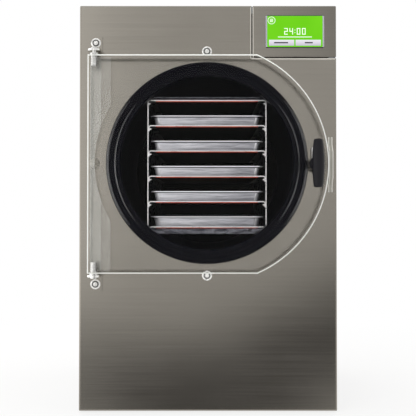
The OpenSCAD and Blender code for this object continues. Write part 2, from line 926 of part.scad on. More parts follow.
// Concentric wires on four radial ones, with feet that reach the back panel
module fan_guard() {
    ring_out_at = guard_out - wire_r;
    spoke_out_at = ring_out_at - 1.6 * wire_r;
    color("#2e3033") at_back() translate([-fan_x, fan_z, 0]) {
        for (i = [1 : guard_rings]) {
            translate([0, 0, ring_out_at]) rotate_extrude()
                translate([guard_outer * i / guard_rings, 0]) circle(wire_r, $fn = 16);
        }
        for (a = [45 : 90 : 315]) {
            rotate([0, 0, a]) {
                translate([0, 0, spoke_out_at]) rotate([0, 90, 0])
                    cylinder(r = wire_r, h = guard_outer + 4);
                translate([guard_outer + 4, 0, 0]) cylinder(r = wire_r + 1, h = spoke_out_at + wire_r);
            }
        }
        translate([0, 0, spoke_out_at - wire_r]) cylinder(r = 12, h = 2 * wire_r);
    }
}

drier_r = 13;
drier_len = 120;
drier_place = [125, comp_y + 120, floor_z + 40];

// A copper can that necks down to a tube at both ends
module filter_drier() {
    color("#b87345") translate(drier_place) rotate_extrude() {
        polygon([[0, -14], [4.5, -14], [4.5, 0], [drier_r, 12], [drier_r, drier_len - 12],
                 [4.5, drier_len], [4.5, drier_len + 14], [0, drier_len + 14]]);
    }
}

// A smooth run whose first and last steps are straight, so that it meets a stub squarely
function plumbed(p, steps) =
    let (n = len(p) - 1, a = p[0] + 2 * unit(p[1] - p[0]), b = p[n] + 2 * unit(p[n - 1] - p[n]))
    concat([p[0]], smooth(concat([a], [for (i = [1 : n - 1]) p[i]], [b]), steps), [p[n]]);

// Four soldered tubes, each a smooth run between two stubs
module refrigerant_lines() {
    left_end = condenser_x - tube_x - 1;
    right_end = condenser_x + tube_x + 1;
    stub_top = comp_top + stub_h;
    low_y = condenser_y - 10;
    start = [drum_x, front_y + coil_start, drum_z - coil_r - coil_d / 2];
    end = [drum_x, front_y + coil_end, start.z];
    high_tube = tube_z(tube_rows - 1);
    drier_top = drier_place + [0, 0, drier_len + 14];
    drier_low = drier_place - [0, 0, 14];
    hot = [
        [comp_discharge.x, comp_discharge.y, stub_top],
        [comp_discharge.x, comp_discharge.y, stub_top + 18],
        [left_end - 30, comp_discharge.y + 60, stub_top + 14],
        [left_end - 30, low_y - 50, high_tube + 4],
        [left_end - 20, low_y, high_tube],
        [left_end, low_y, high_tube]
    ];
    liquid = [
        [right_end, low_y, tube_z(0)],
        [right_end + 22, low_y, tube_z(0)],
        drier_low + [0, 70, -8],
        drier_low - [0, 0, 14],
        drier_low
    ];
    fine = [
        drier_top,
        drier_top + [0, 0, 14],
        drier_top + [-30, -60, 22],
        start + [12, 70, -66],
        start + [0, 0, -52],
        start + [0, 0, -34],
        start
    ];
    cold = [
        end,
        end - [0, 0, 34],
        end - [0, 8, 52],
        [comp_suction.x + 30, end.y - 70, stub_top + 10],
        [comp_suction.x, comp_suction.y, stub_top + 18],
        [comp_suction.x, comp_suction.y, stub_top]
    ];
    color("#b87345") {
        pipe(plumbed(hot, 5), 4);
        pipe(plumbed(liquid, 5), 4);
        pipe(plumbed(fine, 5), 1.5, sides = 6);
        pipe(plumbed(cold, 6), 5);
    }
}

// ---- Side fittings ----

port_flange_r = 20;
port_flange_t = 3;

// A straight tube with a clamp flange: its rim is a flat disc backed by a shallow cone
module vacuum_port() {
    from = sqrt(pow(drum_r, 2) - pow(port_z - drum_z, 2)) + 1;
    len = side_x + side_reach - drum_x - from;
    color("#c4c6c8") at_port(from) rotate_extrude() polygon([
        [port_bore_r, 0], [port_r, 0], [port_r, len - port_flange_t - 2.2],
        [port_flange_r, len - port_flange_t], [port_flange_r, len], [port_bore_r + 1, len],
        [port_bore_r + 1, len - 3], [port_bore_r, len - 3]]);
}

drain_bend = 16;
drain_bore_r = 6.5;
valve_x = -side_x - 4;
valve_len = side_reach - 4;

// Down from the drum, round a bend, and out to the left side
module drain_line() {
    top = drum_z - drum_r - 1;
    color("#c4c6c8") translate([drum_x, service_y, 0]) {
        translate([0, 0, drain_z + drain_bend])
            ring(drain_tube_r, drain_bore_r, top - drain_z - drain_bend);
        translate([-drain_bend, 0, drain_z + drain_bend]) rotate([-90, 0, 0]) rotate_extrude(angle = 90)
            translate([drain_bend, 0]) difference() {
                circle(drain_tube_r);
                circle(drain_bore_r);
            }
        translate([-drain_bend, 0, drain_z]) rotate([0, -90, 0])
            ring(drain_tube_r, drain_bore_r, drum_x - drain_bend - valve_x);
    }
}

stem_r = 4;
stem_at = 20;
stem_top = 19;
barb_bore_r = 4;

// A ball valve with hexagon ends, a packing nut on top and a barbed outlet
module drain_valve() {
    barb = valve_len - 32;
    color("#c9b37a") translate([valve_x, service_y, drain_z]) rotate([0, -90, 0]) difference() {
        union() {
            cylinder(r = 13, h = 8, $fn = 6);
            rotate_extrude() translate([0, 6]) turned_bar(12.5, 26, 5);
            translate([0, 0, 26]) cylinder(r = 11, h = 6, $fn = 6);
            for (k = [0 : 1]) {
                translate([0, 0, 32 + k * barb / 2]) cylinder(r1 = 6.6, r2 = 5.2, h = barb / 2);
            }
            translate([0, 0, stem_at]) rotate([0, 90, 0]) cylinder(r = 7, h = 15);
        }
        translate([0, 0, -over]) cylinder(r = barb_bore_r, h = valve_len + 2 * over);
        translate([0, 0, stem_at]) rotate([0, 90, 0]) cylinder(r = stem_r + running, h = 16);
    }
}

lever_len = 58;
lever_w = 13;

// A stem with a flat handle that points forwards when the valve is shut
module drain_lever() {
    z = drain_z + stem_top;
    color("#b5262a") translate([valve_x - stem_at, service_y, 0]) {
        translate([0, 0, drain_z + 5]) cylinder(r = stem_r, h = stem_top - 5 + 3);
        translate([0, 0, z]) linear_extrude(3) {
            circle(9);
            translate([-lever_w / 2, -lever_len]) square([lever_w, lever_len]);
            translate([0, -lever_len]) circle(lever_w / 2);
        }
        translate([0, 0, z + 3]) cylinder(r = 6, h = 4, $fn = 6);
    }
}

// ---- Controls and sockets ----

bezel_out = 3;
bezel_side = 3;
bezel_end = 1.3;
glass_w = screen_w - 2 * bezel_side;
glass_h = screen_h - 2 * bezel_end;
hole_w = glass_w - 8;
hole_h = glass_h - 8;
module_depth = 14;

// A thin frame glued to the fascia
module display_bezel() {
    color("#c9c8d2") at_front() translate([screen_x, screen_z, 0]) difference() {
        linear_extrude(bezel_out) rounded_rect(screen_w, screen_h, 3);
        translate([0, 0, -over]) linear_extrude(bezel_out + 2 * over) rounded_rect(glass_w, glass_h, 1.5);
    }
}

// The touch glass fills the frame, and its body goes back through the fascia
module display_module() {
    color("#6ed60a") at_front() translate([screen_x, screen_z, 0]) {
        linear_extrude(bezel_out - 0.5) rounded_rect(glass_w, glass_h, 1.5);
        translate([0, 0, -module_depth]) linear_extrude(module_depth) rounded_rect(hole_w, hole_h, 2);
    }
}

board_w = 130;
board_h = 80;
board_t = 1.6;
board_gap = 6;
relay = [18, 16, 15];
relay_pitch = 22;
relay_spots = [-50 : relay_pitch : 16];

// A circuit board on four posts behind the display, with its relays and its plugs
module control_board() {
    color("#2d6b3f") at_front(-module_depth - board_gap - board_t) translate([screen_x, screen_z, 0]) {
        linear_extrude(board_t) rounded_rect(board_w, board_h, 3);
        for (x = [-1, 1], y = [-1, 1]) {
            translate([x * (hole_w / 2 - 5), y * (hole_h / 2 - 5), board_t]) cylinder(r = 3, h = board_gap);
        }
        for (x = relay_spots) translate([x, -32, -relay.z]) cube(relay);
        translate([-40, 8, -8]) cube([30, 18, 8]);
        translate([20, 10, -12]) cube([34, 14, 12]);
    }
}

supply_size = [84, 190, 50];
supply_place = [84, front_y + 60, floor_z];
supply_slots = 11;
supply_slot_pitch = 14;
supply_slot = 5;

// A sheet metal box with a row of slots in its lid
module power_supply() {
    color("#a3a5a8") translate(supply_place) difference() {
        cube(supply_size);
        for (i = [0 : supply_slots - 1]) {
            translate([supply_slot_pitch, 20 + i * supply_slot_pitch, supply_size.z - supply_slot + 1])
                cube([supply_size.x - 2 * supply_slot_pitch, supply_slot, supply_slot]);
        }
    }
}

socket_plate = [48, 34];
socket_plate_t = 2.5;
socket_body_w = 31;
socket_body_h = 25;
socket_depth = 24;
recess_depth = 17;

// A flanged plate and the moulded body behind it, as on any equipment socket
module socket_shell(z) {
    at_back() translate([-socket_x, z, 0]) {
        linear_extrude(socket_plate_t) rounded_rect(socket_plate.x, socket_plate.y, 4);
        translate([0, 0, -socket_depth]) linear_extrude(socket_depth)
            rounded_rect(socket_body_w, socket_body_h, 2);
    }
}

// A rectangle with its two upper corners cut off
module plug_outline(w, h, cut) {
    polygon([[-w / 2, -h / 2], [w / 2, -h / 2], [w / 2, h / 2 - cut],
             [w / 2 - cut, h / 2], [cut - w / 2, h / 2], [-w / 2, h / 2 - cut]]);
}

pin_spots = [[-7, -2], [0, 2], [7, -2]];

// Mains inlet: a recess with three flat pins
module power_inlet() {
    color("#19191b") {
        difference() {
            socket_shell(inlet_z);
            at_back(-recess_depth) translate([-socket_x, inlet_z, 0])
                linear_extrude(recess_depth + socket_plate_t + over) plug_outline(24.5, 16.5, 5);
        }
        at_back(-recess_depth) translate([-socket_x, inlet_z, 0]) for (p = pin_spots) {
            translate([p.x - 1, p.y - 2, 0]) cube([2, 4, recess_depth - 3]);
        }
    }
}

// Outlet for the vacuum pump: a raised face with three slots
module pump_outlet() {
    color("#19191b") difference() {
        union() {
            socket_shell(outlet_z);
            at_back() translate([-socket_x, outlet_z, 0]) linear_extrude(socket_plate_t + 2)
                plug_outline(29, 20, 6);
        }
        at_back(-recess_depth) translate([-socket_x, outlet_z, 0]) for (p = pin_spots) {
            translate([p.x - 1.4, p.y - 2.4, 0]) cube([2.8, 4.8, recess_depth + 8]);
        }
    }
}

switch_w = 19;
switch_l = 27;
switch_plate_t = 2.5;
rocker_w = 14;
rocker_r = 11;
rocker_tilt = 10;
rocker_pivot = 1;
trunnion_r = 1.6;

// A snap-in frame with two small trunnions that the rocker tilts on
module switch_frame() {
    color("#19191b") at_back() translate([-socket_x, switch_z, 0]) {
        difference() {
            union() {
                linear_extrude(switch_plate_t) rounded_rect(switch_w + 6, switch_l + 6, 2);
                translate([0, 0, -18]) linear_extrude(18) rounded_rect(switch_w, switch_l, 1);
            }
            translate([0, 0, rocker_pivot - rocker_r - 1]) linear_extrude(20)
                square([rocker_w + 2 * slip, 2 * rocker_r + 4 * slip], center = true);
        }
        for (s = [-1, 1]) {
            translate([s * (rocker_w / 2 + slip + 0.5), 0, rocker_pivot]) rotate([0, -s * 90, 0])
                cylinder(r = trunnion_r, h = 2);
        }
    }
}

// The rocker's side view is a round-bottomed slice with a shallow valley; at rest its lower end is
// pressed in
module switch_rocker() {
    rise = rocker_r * tan(rocker_tilt);
    color("#2a2b2d") at_back(rocker_pivot) translate([-socket_x, switch_z, 0]) rotate([rocker_tilt, 0, 0])
        difference() {
            rotate([90, 0, 90]) linear_extrude(rocker_w, center = true) intersection() {
                circle(rocker_r);
                polygon([[-rocker_r - 1, -6], [rocker_r + 1, -6], [rocker_r + 1, 2 + rise],
                         [0, 2], [-rocker_r - 1, 2 + rise]]);
            }
            rotate([0, 90, 0]) cylinder(r = trunnion_r + running, h = rocker_w + 2, center = true);
        }
}

// ---- Door and latch ----

// Straight on the hinge side and round on the latch side
module door_outline() {
    intersection() {
        union() {
            translate([door_x, door_z]) circle(door_r);
            translate([door_left, door_z - door_half]) square([door_x - door_left, 2 * door_half]);
        }
        translate([door_left, door_z - door_half]) square([2 * door_r + cab_w, 2 * door_half]);
    }
}

module door_pane() {
    color([0.85, 0.9, 0.92, 0.35]) difference() {
        at_front(door_back) linear_extrude(door_t) door_outline();
        at_spindle(door_back - over) cylinder(r = latch_bush_r, h = door_t + 2 * over);
        for (up = [-1, 1]) {
            at_pivot(up) translate([0, 0, -bush_depth]) cylinder(r = bush_r, h = bush_depth + over);
        }
    }
}

// On the hinge axis, with local Z pointing out of the door's upper or lower edge
module at_pivot(up) {
    translate([pivot_x, front_y - pivot_out, door_z + up * door_half]) rotate([up > 0 ? 0 : 180, 0, 0])
        children();
}

collar_top = bush_gap_top - 4;
collar_bottom = bush_gap_bottom - slip;

module pivot_bushes() {
    color("#c2c4c7") for (up = [-1, 1]) {
        at_pivot(up) difference() {
            union() {
                translate([0, 0, -bush_depth]) cylinder(r = bush_r, h = bush_depth);
                cylinder(r = bush_collar_r, h = up > 0 ? collar_top : collar_bottom);
            }
            translate([0, 0, -bush_depth - over]) cylinder(r = pin_r + running, h = bush_depth + 20);
        }
    }
}

// A turned bush with a round flange against the door's face
module latch_hub() {
    color("#1d1c22") at_spindle(door_back) difference() {
        union() {
            cylinder(r = latch_bush_r, h = door_t);
            translate([0, 0, door_t]) cylinder(r = hub_r, h = hub_t);
        }
        translate([0, 0, -over]) cylinder(r = spindle_r + running, h = door_t + hub_t + 2 * over);
    }
}

handle_from = door_front + hub_t + washer_gap;
boss_r = 11;
grip_edge = 4;

// A barrel-shaped grip across a round boss
module latch_handle() {
    swell = grip_r - grip_end_r;
    bow = (pow(grip_len / 2, 2) + swell * swell) / (2 * swell);
    level = grip_len / 2 - grip_edge;
    edge_x = sqrt(bow * bow - level * level) - bow + grip_r - grip_edge;
    color("#1d1c22") difference() {
        union() {
            at_spindle(handle_from) cylinder(r = boss_r, h = stem_len + grip_r / 2);
            translate([spindle_x, front_y - grip_out, door_z]) rotate_extrude() {
                intersection() {
                    translate([grip_r - bow, 0]) circle(bow, $fn = 360);
                    translate([0, -level]) square([grip_r, 2 * level]);
                }
                for (y = [-level, level]) {
                    translate([edge_x, y]) circle(grip_edge);
                }
                translate([0, -grip_len / 2]) square([edge_x, grip_len]);
            }
        }
        at_spindle(handle_from - over) cylinder(r = spindle_r, h = stem_len + over);
    }
}

nut_h = 3;

module latch_spindle() {
    from = finger_front - finger_t - nut_h;
    color("#8f9193") at_spindle(from) {
        cylinder(r = spindle_r, h = handle_from + stem_len - from);
        cylinder(r = spindle_r + 3, h = nut_h, $fn = 6);
    }
}

// A flat catch on the spindle's inner end; upright at rest, and behind the strike when turned
module latch_finger() {
    color("#b9bbbd") at_spindle(finger_front - finger_t) linear_extrude(finger_t) difference() {
        union() {
            circle(spindle_r + 4);
            translate([-finger_w / 2, 0]) square([finger_w, finger_reach - finger_w / 2]);
            translate([0, finger_reach - finger_w / 2]) circle(finger_w / 2);
        }
        circle(spindle_r);
    }
}

// ---- Hinge brackets, strike and screws ----

// An angle bracket: a plate on the front panel and a round-ended tab over the door's edge
module hinge_bracket(up) {
    z = tab_z(up);
    color("#c4c6c8") difference() {
        union() {
            at_front() translate([pivot_x, z + up * bracket_tall / 2, 0]) linear_extrude(bracket_t)
                rounded_rect(bracket_w, bracket_tall, 3);
            translate([pivot_x, 0, z + (up > 0 ? 0 : -bracket_t)]) linear_extrude(bracket_t) {
                translate([-bracket_w / 2, front_y - pivot_out]) square([bracket_w, pivot_out]);
                translate([0, front_y - pivot_out]) circle(bracket_w / 2);
            }
        }
        at_front(-over) translate([pivot_x, bracket_screw_z(up), 0]) cylinder(r = screw_hole_r, h = 20);
        at_pivot(up) cylinder(r = pin_r, h = 40);
    }
}

module hinge_bracket_top() {
    hinge_bracket(1);
}

module hinge_bracket_bottom() {
    hinge_bracket(-1);
}

// Headed pins through the tabs, down into the door's bushes
module hinge_pins() {
    color("#8f9193") for (up = [-1, 1]) {
        gap = up > 0 ? bush_gap_top : bush_gap_bottom;
        at_pivot(up) {
            translate([0, 0, 3 - bush_depth]) cylinder(r = pin_r, h = bush_depth - 3 + gap + bracket_t);
            translate([0, 0, gap + bracket_t]) cylinder(r = pin_r + 3, h = 3);
        }
    }
}

// A folded strap: two feet on the panel and a bridge that the latch's finger goes behind
module strike_plate() {
    half = strike_h / 2;
    step = strike_foot + strike_out - 2 * strike_t;
    color("#c4c6c8") translate([strike_x, front_y, door_z]) rotate([90, 0, 90]) linear_extrude(strike_w)
        polygon(concat(
            [for (s = [[half, 0], [half - strike_foot, 0], [half - step, strike_out - strike_t]])
                [-s.y, s.x]],
            [for (s = [[half - step, strike_out - strike_t], [half - strike_foot, 0], [half, 0]])
                [-s.y, -s.x]],
            [for (s = [[half, strike_t], [half - strike_foot - 1, strike_t], [half - step - 1, strike_out]])
                [-s.y, -s.x]],
            [for (s = [[half - step - 1, strike_out], [half - strike_foot - 1, strike_t], [half, strike_t]])
                [-s.y, s.x]]));
}

// Dome-headed screws: four hold the drum's ears, and one each hinge bracket
module panel_screws() {
    shank = sheet + ring_t + 4;
    spots = screw_spots();
    color("#c4c6c8") for (i = [0 : len(spots) - 1]) {
        lift = i < 4 ? 0 : bracket_t;
        at_front(lift) translate([spots[i].x, spots[i].y, 0]) {
            translate([0, 0, -shank - lift]) cylinder(r = screw_hole_r, h = shank + lift);
            rotate_extrude() intersection() {
                translate([0, screw_head_h - screw_cap_bow]) circle(screw_cap_bow, $fn = 360);
                square([screw_head_r, screw_head_h]);
            }
        }
    }
}

screw_cap_bow = (pow(screw_head_r, 2) + pow(screw_head_h - 1, 2)) / (2 * (screw_head_h - 1));

for (i = [1 : shelf_count]) {
    shelf(i);
}
for (i = [1 : shelf_count - 1]) {
    tray(i);
}
front_panel();
control_fascia();
cabinet_wrap();
back_panel();
chassis_frame();
base_pan();
feet();
vacuum_drum();
door_gasket();
foam_jacket();
evaporator_coil();
drum_cradles();
rack_side_left();
rack_side_right();
heater_mats();
foil_pad_top();
foil_pad_bottom();
compressor();
compressor_grommets();
condenser();
fan_shroud();
fan_motor();
fan_rotor();
fan_guard();
filter_drier();
refrigerant_lines();
vacuum_port();
drain_line();
drain_valve();
drain_lever();
display_bezel();
display_module();
control_board();
power_supply();
power_inlet();
pump_outlet();
switch_frame();
switch_rocker();
door_pane();
pivot_bushes();
latch_hub();
latch_handle();
latch_spindle();
latch_finger();
hinge_bracket_top();
hinge_bracket_bottom();
hinge_pins();
strike_plate();
panel_screws();
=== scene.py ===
import json
import math

import bmesh
import bpy
from mathutils import Matrix, Vector


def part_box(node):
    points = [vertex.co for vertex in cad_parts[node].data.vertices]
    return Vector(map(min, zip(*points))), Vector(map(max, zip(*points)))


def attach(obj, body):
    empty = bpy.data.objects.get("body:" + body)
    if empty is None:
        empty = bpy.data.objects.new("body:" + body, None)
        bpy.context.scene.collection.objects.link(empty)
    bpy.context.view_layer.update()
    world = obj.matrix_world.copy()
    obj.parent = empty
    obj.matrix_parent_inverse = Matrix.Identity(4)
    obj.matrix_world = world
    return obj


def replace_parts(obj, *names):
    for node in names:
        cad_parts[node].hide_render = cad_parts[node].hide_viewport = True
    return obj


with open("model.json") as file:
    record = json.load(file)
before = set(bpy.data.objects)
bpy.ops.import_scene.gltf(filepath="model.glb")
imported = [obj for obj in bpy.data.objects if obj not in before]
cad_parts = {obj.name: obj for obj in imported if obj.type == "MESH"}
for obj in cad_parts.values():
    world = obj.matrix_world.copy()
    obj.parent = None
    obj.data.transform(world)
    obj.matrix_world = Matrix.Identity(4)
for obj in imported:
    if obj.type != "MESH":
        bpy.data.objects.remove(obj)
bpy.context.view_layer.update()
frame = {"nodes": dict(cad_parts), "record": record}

MM = 0.001


# ---- Helpers ----

def linear(colour):
    """An sRGB colour such as "#8c8a80", as the linear and solid colour that a shader takes."""
    channels = [int(colour[i:i + 2], 16) / 255 for i in (1, 3, 5)]
    return [c / 12.92 if c <= 0.04045 else ((c + 0.055) / 1.055) ** 2.4 for c in channels] + [1.0]


def add(tree, kind, inputs=None, **settings):
    """Adds a node; inputs maps a socket's name or number to a plain value or to another node's output."""
    new = tree.nodes.new(kind)
    for name, value in settings.items():
        setattr(new, name, value)
    for key, value in (inputs or {}).items():
        if isinstance(value, bpy.types.NodeSocket):
            tree.links.new(value, new.inputs[key])
        else:
            new.inputs[key].default_value = value
    return new


def smooth(obj):
    """Rounds the shading of faces that meet at less than 35 degrees."""
    for face in obj.data.polygons:
        face.use_smooth = True
    obj.data.set_sharp_from_angle(angle=math.radians(35))


def mesh_of(bm, name):
    """Turns a mesh that is being built into a plain one."""
    made = bpy.data.meshes.new(name)
    bm.to_mesh(made)
    bm.free()
    return made


def linked(name, mesh):
    """An object for a mesh, in the scene."""
    obj = bpy.data.objects.new(name, mesh)
    bpy.context.scene.collection.objects.link(obj)
    return obj


def piece(name, mesh, materials=(), body="cabinet"):
    """Makes a mesh a finished piece of the object, on its body, with its materials."""
    if isinstance(mesh, bmesh.types.BMesh):
        mesh = mesh_of(mesh, name)
    for finish in materials:
        mesh.materials.append(finish)
    obj = linked(name, mesh)
    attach(obj, body)
    return obj


def slab(outline, y, thick):
    """Starts a mesh with an upright sheet: its outline, as (x, z) points, drawn out from y backwards."""
    bm = bmesh.new()
    front = bm.faces.new([bm.verts.new((x, y, z)) for x, z in outline])
    made = bmesh.ops.extrude_face_region(bm, geom=[front])
    back = [v for v in made["geom"] if isinstance(v, bmesh.types.BMVert)]
    bmesh.ops.translate(bm, verts=back, vec=(0, thick, 0))
    return bm


# ---- Geometry Nodes ----

def new_tree(name, **inputs):
    """An empty Geometry Nodes tree with named inputs, and those inputs' sockets."""
    tree = bpy.data.node_groups.new(name, "GeometryNodeTree")
    tree.interface.new_socket("Geometry", in_out="OUTPUT", socket_type="NodeSocketGeometry")
    for socket, kind in inputs.items():
        tree.interface.new_socket(socket, in_out="INPUT", socket_type="NodeSocket" + kind)
    return tree, add(tree, "NodeGroupInput").outputs


def end_tree(tree, geometry, finish):
    """Ends a tree with real geometry in one material."""
    real = add(tree, "GeometryNodeRealizeInstances", {"Geometry": geometry}).outputs[0]
    coated = add(tree, "GeometryNodeSetMaterial", {"Geometry": real, "Material": finish}).outputs[0]
    add(tree, "NodeGroupOutput", {"Geometry": coated})


def grown(tree, **values):
    """The plain mesh that a tree makes from these values of its inputs."""
    holder = bpy.data.objects.new(tree.name, bpy.data.meshes.new(tree.name))
    modifier = holder.modifiers.new(tree.name, "NODES")
    modifier.node_group = tree
    for item in tree.interface.items_tree:
        if item.in_out == "INPUT":
            modifier[item.identifier] = values[item.name]
    bpy.context.scene.collection.objects.link(holder)
    shape = bpy.data.meshes.new_from_object(holder.evaluated_get(bpy.context.evaluated_depsgraph_get()))
    bpy.data.objects.remove(holder)
    return shape


# ---- Places that several pieces share, from the frame ----

FRONT_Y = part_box("front_panel")[0].y
LEFT_X, RIGHT_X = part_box("cabinet_wrap")[0].x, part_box("cabinet_wrap")[1].x
TOP_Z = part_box("cabinet_wrap")[1].z
BACK_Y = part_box("back_panel")[1].y
door_low, door_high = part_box("door_pane")
drum_low, drum_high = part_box("vacuum_drum")
glass_low, glass_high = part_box("display_module")
KEYS = (glass_low.z + 2.6 * MM, glass_low.z + 14.3 * MM)      # the display's keys, from foot to head


# ---- Camera ----

def front_camera():
    """Level with the middle of the cabinet's front, straight ahead of it, with a long lens. It looks up a
    little and is shifted back down, so the cabinet narrows by a hundredth toward its top."""
    distance, width_in_view, height, look_up = 2.1, 0.8308, 0.4056, 1.43
    data = bpy.data.cameras.new("front_camera")
    data.sensor_width = 36
    data.lens = data.sensor_width * distance / width_in_view
    data.shift_y = -0.0621
    camera = bpy.data.objects.new("front_camera", data)
    camera.location = (0, FRONT_Y - distance, height)
    camera.rotation_euler = (math.radians(90 + look_up), 0, 0)
    bpy.context.scene.collection.objects.link(camera)
    bpy.context.scene.camera = camera


front_camera()


# ---- Patterns ----

def new_material(name, colour, roughness, metallic=0.0, **plain):
    """A material, its tree and its main shader, with each plain value on the shader's own socket."""
    material = bpy.data.materials.new(name)
    material.use_nodes = True
    tree = material.node_tree
    shader = tree.nodes["Principled BSDF"]
    plain = {"Base Color": linear(colour), "Roughness": roughness, "Metallic": metallic, **plain}
    for socket, value in plain.items():
        shader.inputs[socket].default_value = value
    material.diffuse_color = linear(colour)
    return material, tree, shader


def grain(tree, size_mm, detail, rough=0.5, clip=None):
    """A cloudy pattern from 0 to 1 whose clouds are about size_mm = (x, y, z) across. Its levels keep to the
    middle, so clip names the two that are stretched to 0 and 1."""
    place = add(tree, "ShaderNodeTexCoord").outputs["Object"]
    scaled = add(tree, "ShaderNodeVectorMath", {0: place, 1: [1 / (size * MM) for size in size_mm]},
                 operation="MULTIPLY").outputs[0]
    clouds = add(tree, "ShaderNodeTexNoise",
                 {"Vector": scaled, "Scale": 1.0, "Detail": detail, "Roughness": rough}).outputs[0]
    if clip is None:
        return clouds
    return add(tree, "ShaderNodeMapRange", {0: clouds, 1: clip[0], 2: clip[1]}).outputs[0]


def split(tree):
    """The three parts of a point's place on the object."""
    place = add(tree, "ShaderNodeTexCoord").outputs["Object"]
    return add(tree, "ShaderNodeSeparateXYZ", {0: place}).outputs


def band(tree, value, low, high, soft):
    """1 between two limits of a value and 0 beyond them, with soft edges this wide."""
    rise = add(tree, "ShaderNodeMapRange", {0: value, 1: low - soft, 2: low}).outputs[0]
    fall = add(tree, "ShaderNodeMapRange", {0: value, 1: high, 2: high + soft, 3: 1.0, 4: 0.0}).outputs[0]
    return add(tree, "ShaderNodeMath", {0: rise, 1: fall}, operation="MULTIPLY").outputs[0]


def from_axis(tree, points=(1, 0, 1)):
    """How far a point is from the drum's axis; points picks which directions count."""
    place = add(tree, "ShaderNodeTexCoord").outputs["Object"]
    off = add(tree, "ShaderNodeVectorMath", {0: place, 1: (drum_low + drum_high) / 2}, operation="SUBTRACT")
    flat = add(tree, "ShaderNodeVectorMath", {0: off.outputs[0], 1: points}, operation="MULTIPLY")
    return add(tree, "ShaderNodeVectorMath", {0: flat.outputs[0]}, operation="LENGTH").outputs["Value"]


def paint(tree, shader, share, colour):
    """Lays a plain colour over the colour that the shader already has, as far as share says."""
    under = shader.inputs["Base Color"].links[0].from_socket
    mixed = add(tree, "ShaderNodeMix", {0: share, 6: under, 7: linear(colour)}, data_type="RGBA")
    tree.links.new(mixed.outputs[2], shader.inputs["Base Color"])


def drive(tree, shader, pattern, colours, roughness, relief_mm=None):
    """Lets a pattern from 0 to 1 set colour and roughness between two values each, and raise the surface."""
    mixed = add(tree, "ShaderNodeMix", {0: pattern, 6: linear(colours[0]), 7: linear(colours[1])},
                data_type="RGBA")
    tree.links.new(mixed.outputs[2], shader.inputs["Base Color"])
    ranged = add(tree, "ShaderNodeMapRange", {0: pattern, 3: roughness[0], 4: roughness[1]})
    tree.links.new(ranged.outputs[0], shader.inputs["Roughness"])
    if relief_mm:
        raised = add(tree, "ShaderNodeBump",
                     {"Height": pattern, "Distance": relief_mm * MM, "Strength": 1.0})
        tree.links.new(raised.outputs[0], shader.inputs["Normal"])


def shine(tree, shader, pattern, colours, strength):
    """Lets a material give light of its own, between two colours as a pattern from 0 to 1 says."""
    mixed = add(tree, "ShaderNodeMix", {0: pattern, 6: linear(colours[0]), 7: linear(colours[1])},
                data_type="RGBA")
    tree.links.new(mixed.outputs[2], shader.inputs["Emission Color"])
    shader.inputs["Emission Strength"].default_value = strength


# ---- Materials ----

def brushed_stainless(name="brushed_stainless"):
    """Cold-rolled stainless sheet with a number 4 finish: a belt leaves fine level lines all round, which
    spread a reflection upwards, over slow changes of tone from rolling and wiping."""
    material, tree, shader = new_material(name, "#98938a", 0.22, 1.0)
    shader.inputs["Anisotropic"].default_value = 0.3
    # real lines are 0.2 mm apart, drawn 3 mm apart so that they show
    lines = grain(tree, (260, 260, 3), 3, clip=(0.3, 0.7))
    slow = grain(tree, (180, 180, 90), 2, clip=(0.3, 0.7))
    both = add(tree, "ShaderNodeMix", {0: 0.45, 2: lines, 3: slow}).outputs[0]
    drive(tree, shader, both, ("#938e85", "#9d988f"), (0.16, 0.2), 0.006)
    return material


def fascia_stainless():
    """The same sheet on the control fascia, its colour darkened towards the right by painted shade."""
    material = brushed_stainless("fascia_stainless")
    tree = material.node_tree
    shader = tree.nodes["Principled BSDF"]
    low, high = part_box("control_fascia")
    # painted shade: the sheet's colour is multiplied down to seven tenths from left to right
    across = add(tree, "ShaderNodeMapRange", {0: split(tree)[0], 1: low.x, 2: high.x}).outputs[0]
    painted_shade = add(tree, "ShaderNodeMix", {0: across, 6: (1, 1, 1, 1), 7: (0.7, 0.7, 0.7, 1)},
                data_type="RGBA").outputs[2]
    sheet = shader.inputs["Base Color"].links[0].from_socket
    both = add(tree, "ShaderNodeMix", {0: 1.0, 6: sheet, 7: painted_shade}, data_type="RGBA", blend_type="MULTIPLY")
    tree.links.new(both.outputs[2], shader.inputs["Base Color"])
    return material


def galvanised():
    """Folded galvanised steel, with the faint crystals of its zinc."""
    material, tree, shader = new_material("galvanised", "#8d9092", 0.5, 0.9)
    crystal = 11.1 * MM
    place = add(tree, "ShaderNodeTexCoord").outputs["Object"]
    cells = add(tree, "ShaderNodeTexVoronoi", {"Vector": place, "Scale": 1 / crystal})
    tone = add(tree, "ShaderNodeRGBToBW", {"Color": cells.outputs["Color"]}).outputs[0]
    drive(tree, shader, tone, ("#83878a", "#989b9c"), (0.42, 0.58))
    return material


